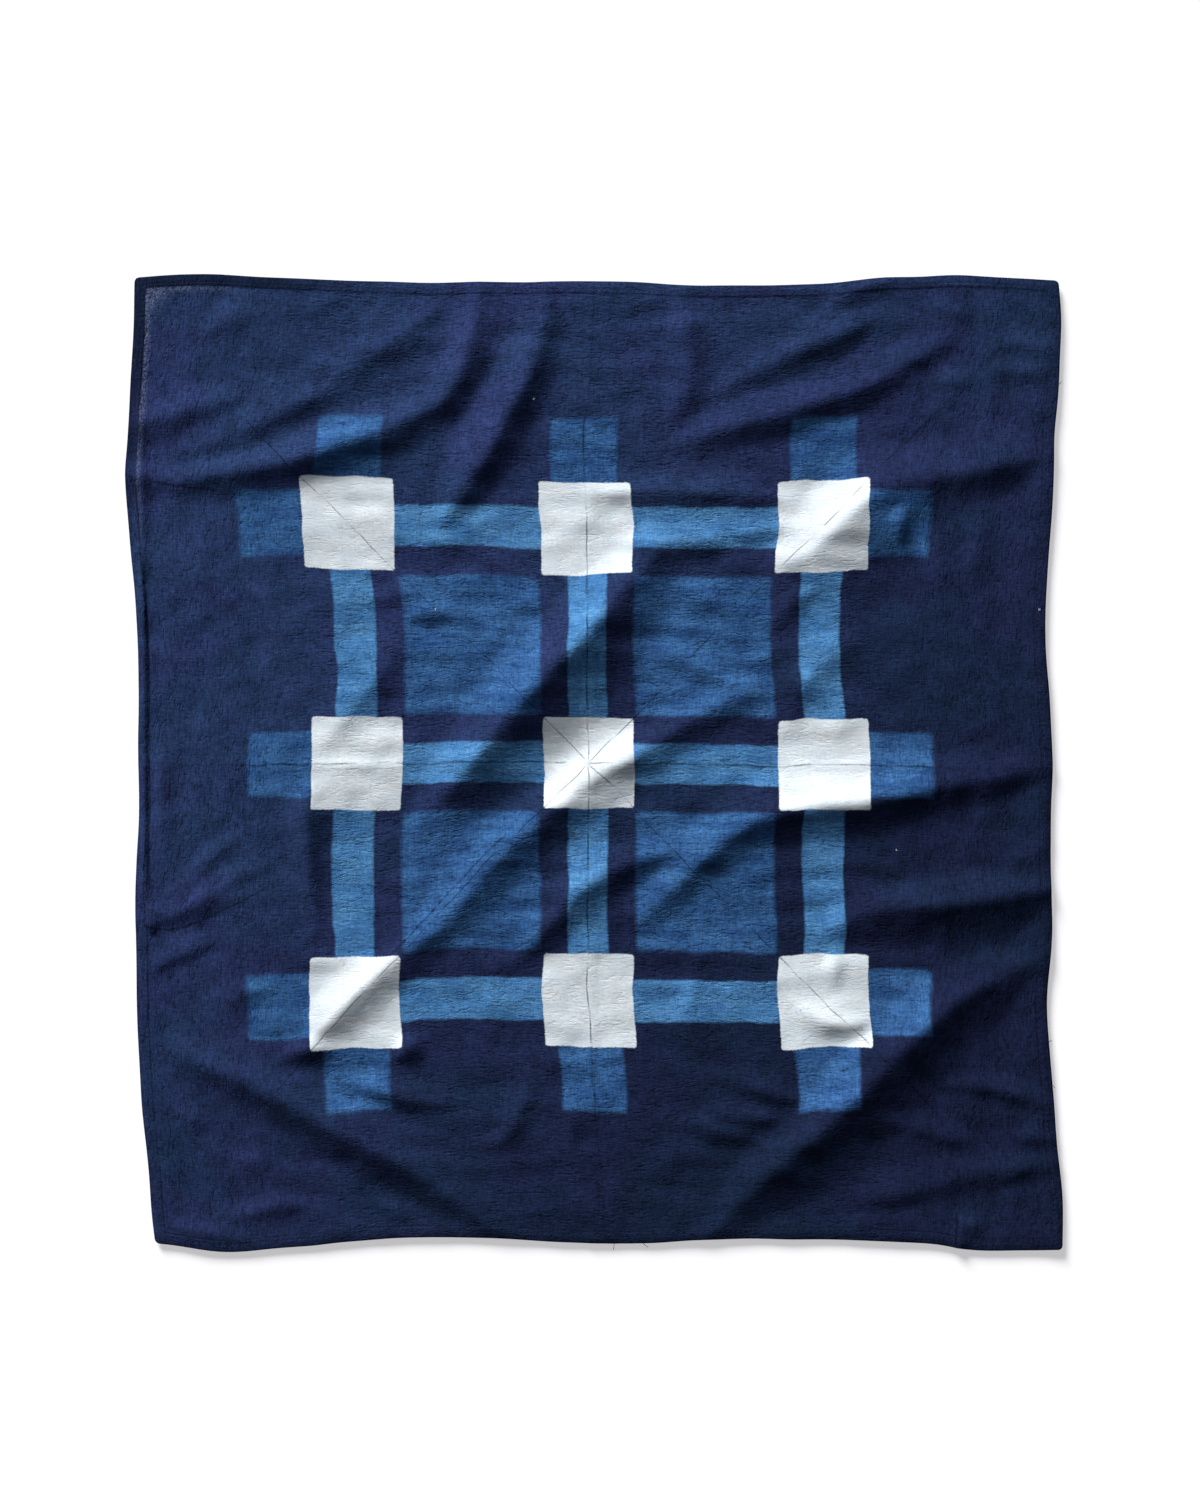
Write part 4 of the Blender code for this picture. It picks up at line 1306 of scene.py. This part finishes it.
class BANDANA_OT_loose_threads(bpy.types.Operator):
    """Leave the loose ends of the sewing thread at the hem's edge"""

    bl_idname = "bandana.loose_threads"
    bl_label = "Loose threads"
    bl_options = {"REGISTER", "UNDO"}

    def execute(self, context):
        sizes = context.scene.bandana_cloth
        dye = context.scene.bandana_dye
        grid = grid_for(sizes)
        radius = sizes.thread * MM_PER_METRE / 2
        tubes = []
        for end in THREAD_ENDS:
            root = grid.on_top(np.array([end.u]), np.array([end.v]))[0]
            line = np.array((
                root - (0, 0, THREAD_SINK),
                (root[0] + end.bend_x, root[1] + end.bend_y, root[2] * THREAD_DROP),
                (root[0] + end.tip_x, root[1] + end.tip_y, radius),
            ))
            tubes.append(fibre_tube(smooth_line(line), radius, FIBRE_SIDES))
        thread = thread_material("loose thread", tuple(dye.ground), tuple(dye.mid))
        piece = place_mesh("loose_threads", *join_tubes(tubes), thread)
        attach(piece, "root")
        return {"FINISHED"}


class BANDANA_OT_lint(bpy.types.Operator):
    """Scatter a few specks of pale lint on the cloth"""

    bl_idname = "bandana.lint"
    bl_label = "Lint"
    bl_options = {"REGISTER", "UNDO"}

    def execute(self, context):
        sizes = context.scene.bandana_cloth
        dye = context.scene.bandana_dye
        grid = grid_for(sizes)
        random = np.random.default_rng(LINT_SEED)
        tubes = []
        for u, v in LINT_SPECKS:
            for _ in range(LINT_FIBRES):
                curl = np.cumsum(random.normal(0, LINT_STEP, (LINT_POINTS, 3)), axis=0)
                curl -= curl.min(axis=0) / 2 + curl.max(axis=0) / 2
                curl[:, 2] = np.abs(curl[:, 2]) * LINT_FLATNESS
                root = grid.on_top(np.array([u]), np.array([v]))[0]
                tubes.append(fibre_tube(root + smooth_line(curl), LINT_RADIUS, FIBRE_SIDES))
        fluff = thread_material("lint", tuple(dye.white), tuple(dye.white))
        piece = place_mesh("lint", *join_tubes(tubes), fluff)
        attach(piece, "root")
        return {"FINISHED"}


class BANDANA_OT_cloth(bpy.types.Operator):
    """Lay out the hemmed cloth with its folds, creases, crinkles and dye"""

    bl_idname = "bandana.cloth"
    bl_label = "Cloth"
    bl_options = {"REGISTER", "UNDO"}

    def execute(self, context):
        grid = grid_for(context.scene.bandana_cloth)
        rows, columns = grid.lower.shape
        layer = rows * columns
        lower = np.dstack((grid.plan, grid.lower)).reshape(-1, 3)
        upper = np.dstack((grid.plan, grid.upper)).reshape(-1, 3)
        faces = np.vstack((
            grid_faces(rows, columns, 0, False),
            grid_faces(rows, columns, layer, True),
            rim_faces(rows, columns, layer)[:, ::-1],
        ))
        cotton = cotton_material(context.scene.bandana_dye)
        piece = place_mesh("bandana_cloth", np.vstack((lower, upper)), faces.tolist(), cotton)
        flat = np.zeros((2 * layer, 3))
        flat[:, :2] = np.tile(grid.flat.reshape(-1, 2), (2, 1))
        store = piece.data.attributes.new("flat_place", "FLOAT_VECTOR", "POINT")
        store.data.foreach_set("vector", flat.ravel())
        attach(piece, "root")
        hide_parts("cloth")
        return {"FINISHED"}


class BANDANA_OT_stage(bpy.types.Operator):
    """Set the pale floor, the soft light from the upper left and the camera straight above"""

    bl_idname = "bandana.stage"
    bl_label = "Stage"
    bl_options = {"REGISTER", "UNDO"}

    def execute(self, context):
        studio = context.scene.bandana_studio
        self.floor(studio)
        self.light(studio)
        self.surroundings(context, studio)
        self.camera(context, studio)
        return {"FINISHED"}

    def floor(self, studio):
        signs = ((-1, -1), (1, -1), (1, 1), (-1, 1))
        corners = [(x * FLOOR_HALF, y * FLOOR_HALF, 0.0) for x, y in signs]
        recipe = Recipe("pale floor")
        paper = recipe.finish(
            Base_Color=as_rgba(tuple(studio.floor)), Roughness=0.9, Specular_IOR_Level=0.1,
            Emission_Color=FLOOR_GLOW_COLOUR, Emission_Strength=studio.glow)
        place_mesh("floor", corners, [(0, 1, 2, 3)], paper)

    def light(self, studio):
        lamp = bpy.data.lights.new("soft_key", "SUN")
        lamp.energy = studio.key * math.pi / math.sin(studio.height)
        lamp.angle = studio.softness
        key = bpy.data.objects.new("soft_key", lamp)
        towards = Vector((
            math.cos(studio.heading) * math.cos(studio.height),
            math.sin(studio.heading) * math.cos(studio.height),
            math.sin(studio.height),
        ))
        key.rotation_euler = towards.to_track_quat("Z", "Y").to_euler()
        bpy.context.scene.collection.objects.link(key)

    def surroundings(self, context, studio):
        world = bpy.data.worlds.new("studio")
        context.scene.world = world
        world.use_nodes = True
        tree = world.node_tree
        sky = tree.nodes["Background"]
        direction = tree.nodes.new("ShaderNodeTexCoord")
        apart = tree.nodes.new("ShaderNodeSeparateXYZ")
        rise = tree.nodes.new("ShaderNodeMapRange")
        tree.links.new(direction.outputs["Generated"], apart.inputs[0])
        tree.links.new(apart.outputs["Z"], rise.inputs["Value"])
        rise.inputs["From Min"].default_value = HORIZON_LOW
        rise.inputs["From Max"].default_value = HORIZON_HIGH
        rise.inputs["To Min"].default_value = 1.0
        rise.inputs["To Max"].default_value = studio.fill
        tree.links.new(rise.outputs[0], sky.inputs["Strength"])
        sky.inputs["Color"].default_value = as_rgba(tuple(studio.sky))

    def camera(self, context, studio):
        data = bpy.data.cameras.new("camera")
        data.lens = studio.lens
        data.clip_end = CAMERA_REACH
        camera = bpy.data.objects.new("camera", data)
        away = studio.view_length * data.lens / data.sensor_width
        camera.location = (studio.aim_x, studio.aim_y, away)
        context.scene.collection.objects.link(camera)
        context.scene.camera = camera
        context.scene.view_settings.view_transform = "Standard"


class BANDANA_PT_sidebar(bpy.types.Panel):
    """The bandana's pieces, sizes and colours"""

    bl_idname = "BANDANA_PT_sidebar"
    bl_label = "Bandana"
    bl_space_type = "VIEW_3D"
    bl_region_type = "UI"
    bl_category = "Bandana"

    def draw(self, context):
        layout = self.layout
        for operator in OPERATORS:
            layout.operator(operator.bl_idname)
        scene = context.scene
        for group in (scene.bandana_cloth, scene.bandana_dye, scene.bandana_studio):
            column = layout.column()
            for name in group.__annotations__:
                column.prop(group, name)


OPERATORS = (
    BANDANA_OT_hem_stitches,
    BANDANA_OT_loose_threads,
    BANDANA_OT_lint,
    BANDANA_OT_cloth,
    BANDANA_OT_stage,
)
CLASSES = (BandanaCloth, BandanaDye, BandanaStudio, *OPERATORS, BANDANA_PT_sidebar)


def register():
    for kind in CLASSES:
        bpy.utils.register_class(kind)
    bpy.types.Scene.bandana_cloth = PointerProperty(type=BandanaCloth)
    bpy.types.Scene.bandana_dye = PointerProperty(type=BandanaDye)
    bpy.types.Scene.bandana_studio = PointerProperty(type=BandanaStudio)


def unregister():
    del bpy.types.Scene.bandana_studio
    del bpy.types.Scene.bandana_dye
    del bpy.types.Scene.bandana_cloth
    for kind in reversed(CLASSES):
        bpy.utils.unregister_class(kind)


def main():
    register()
    bpy.ops.bandana.hem_stitches()
    bpy.ops.bandana.loose_threads()
    bpy.ops.bandana.lint()
    bpy.ops.bandana.cloth()
    bpy.ops.bandana.stage()
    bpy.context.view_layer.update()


if __name__ == "__main__":
    main()
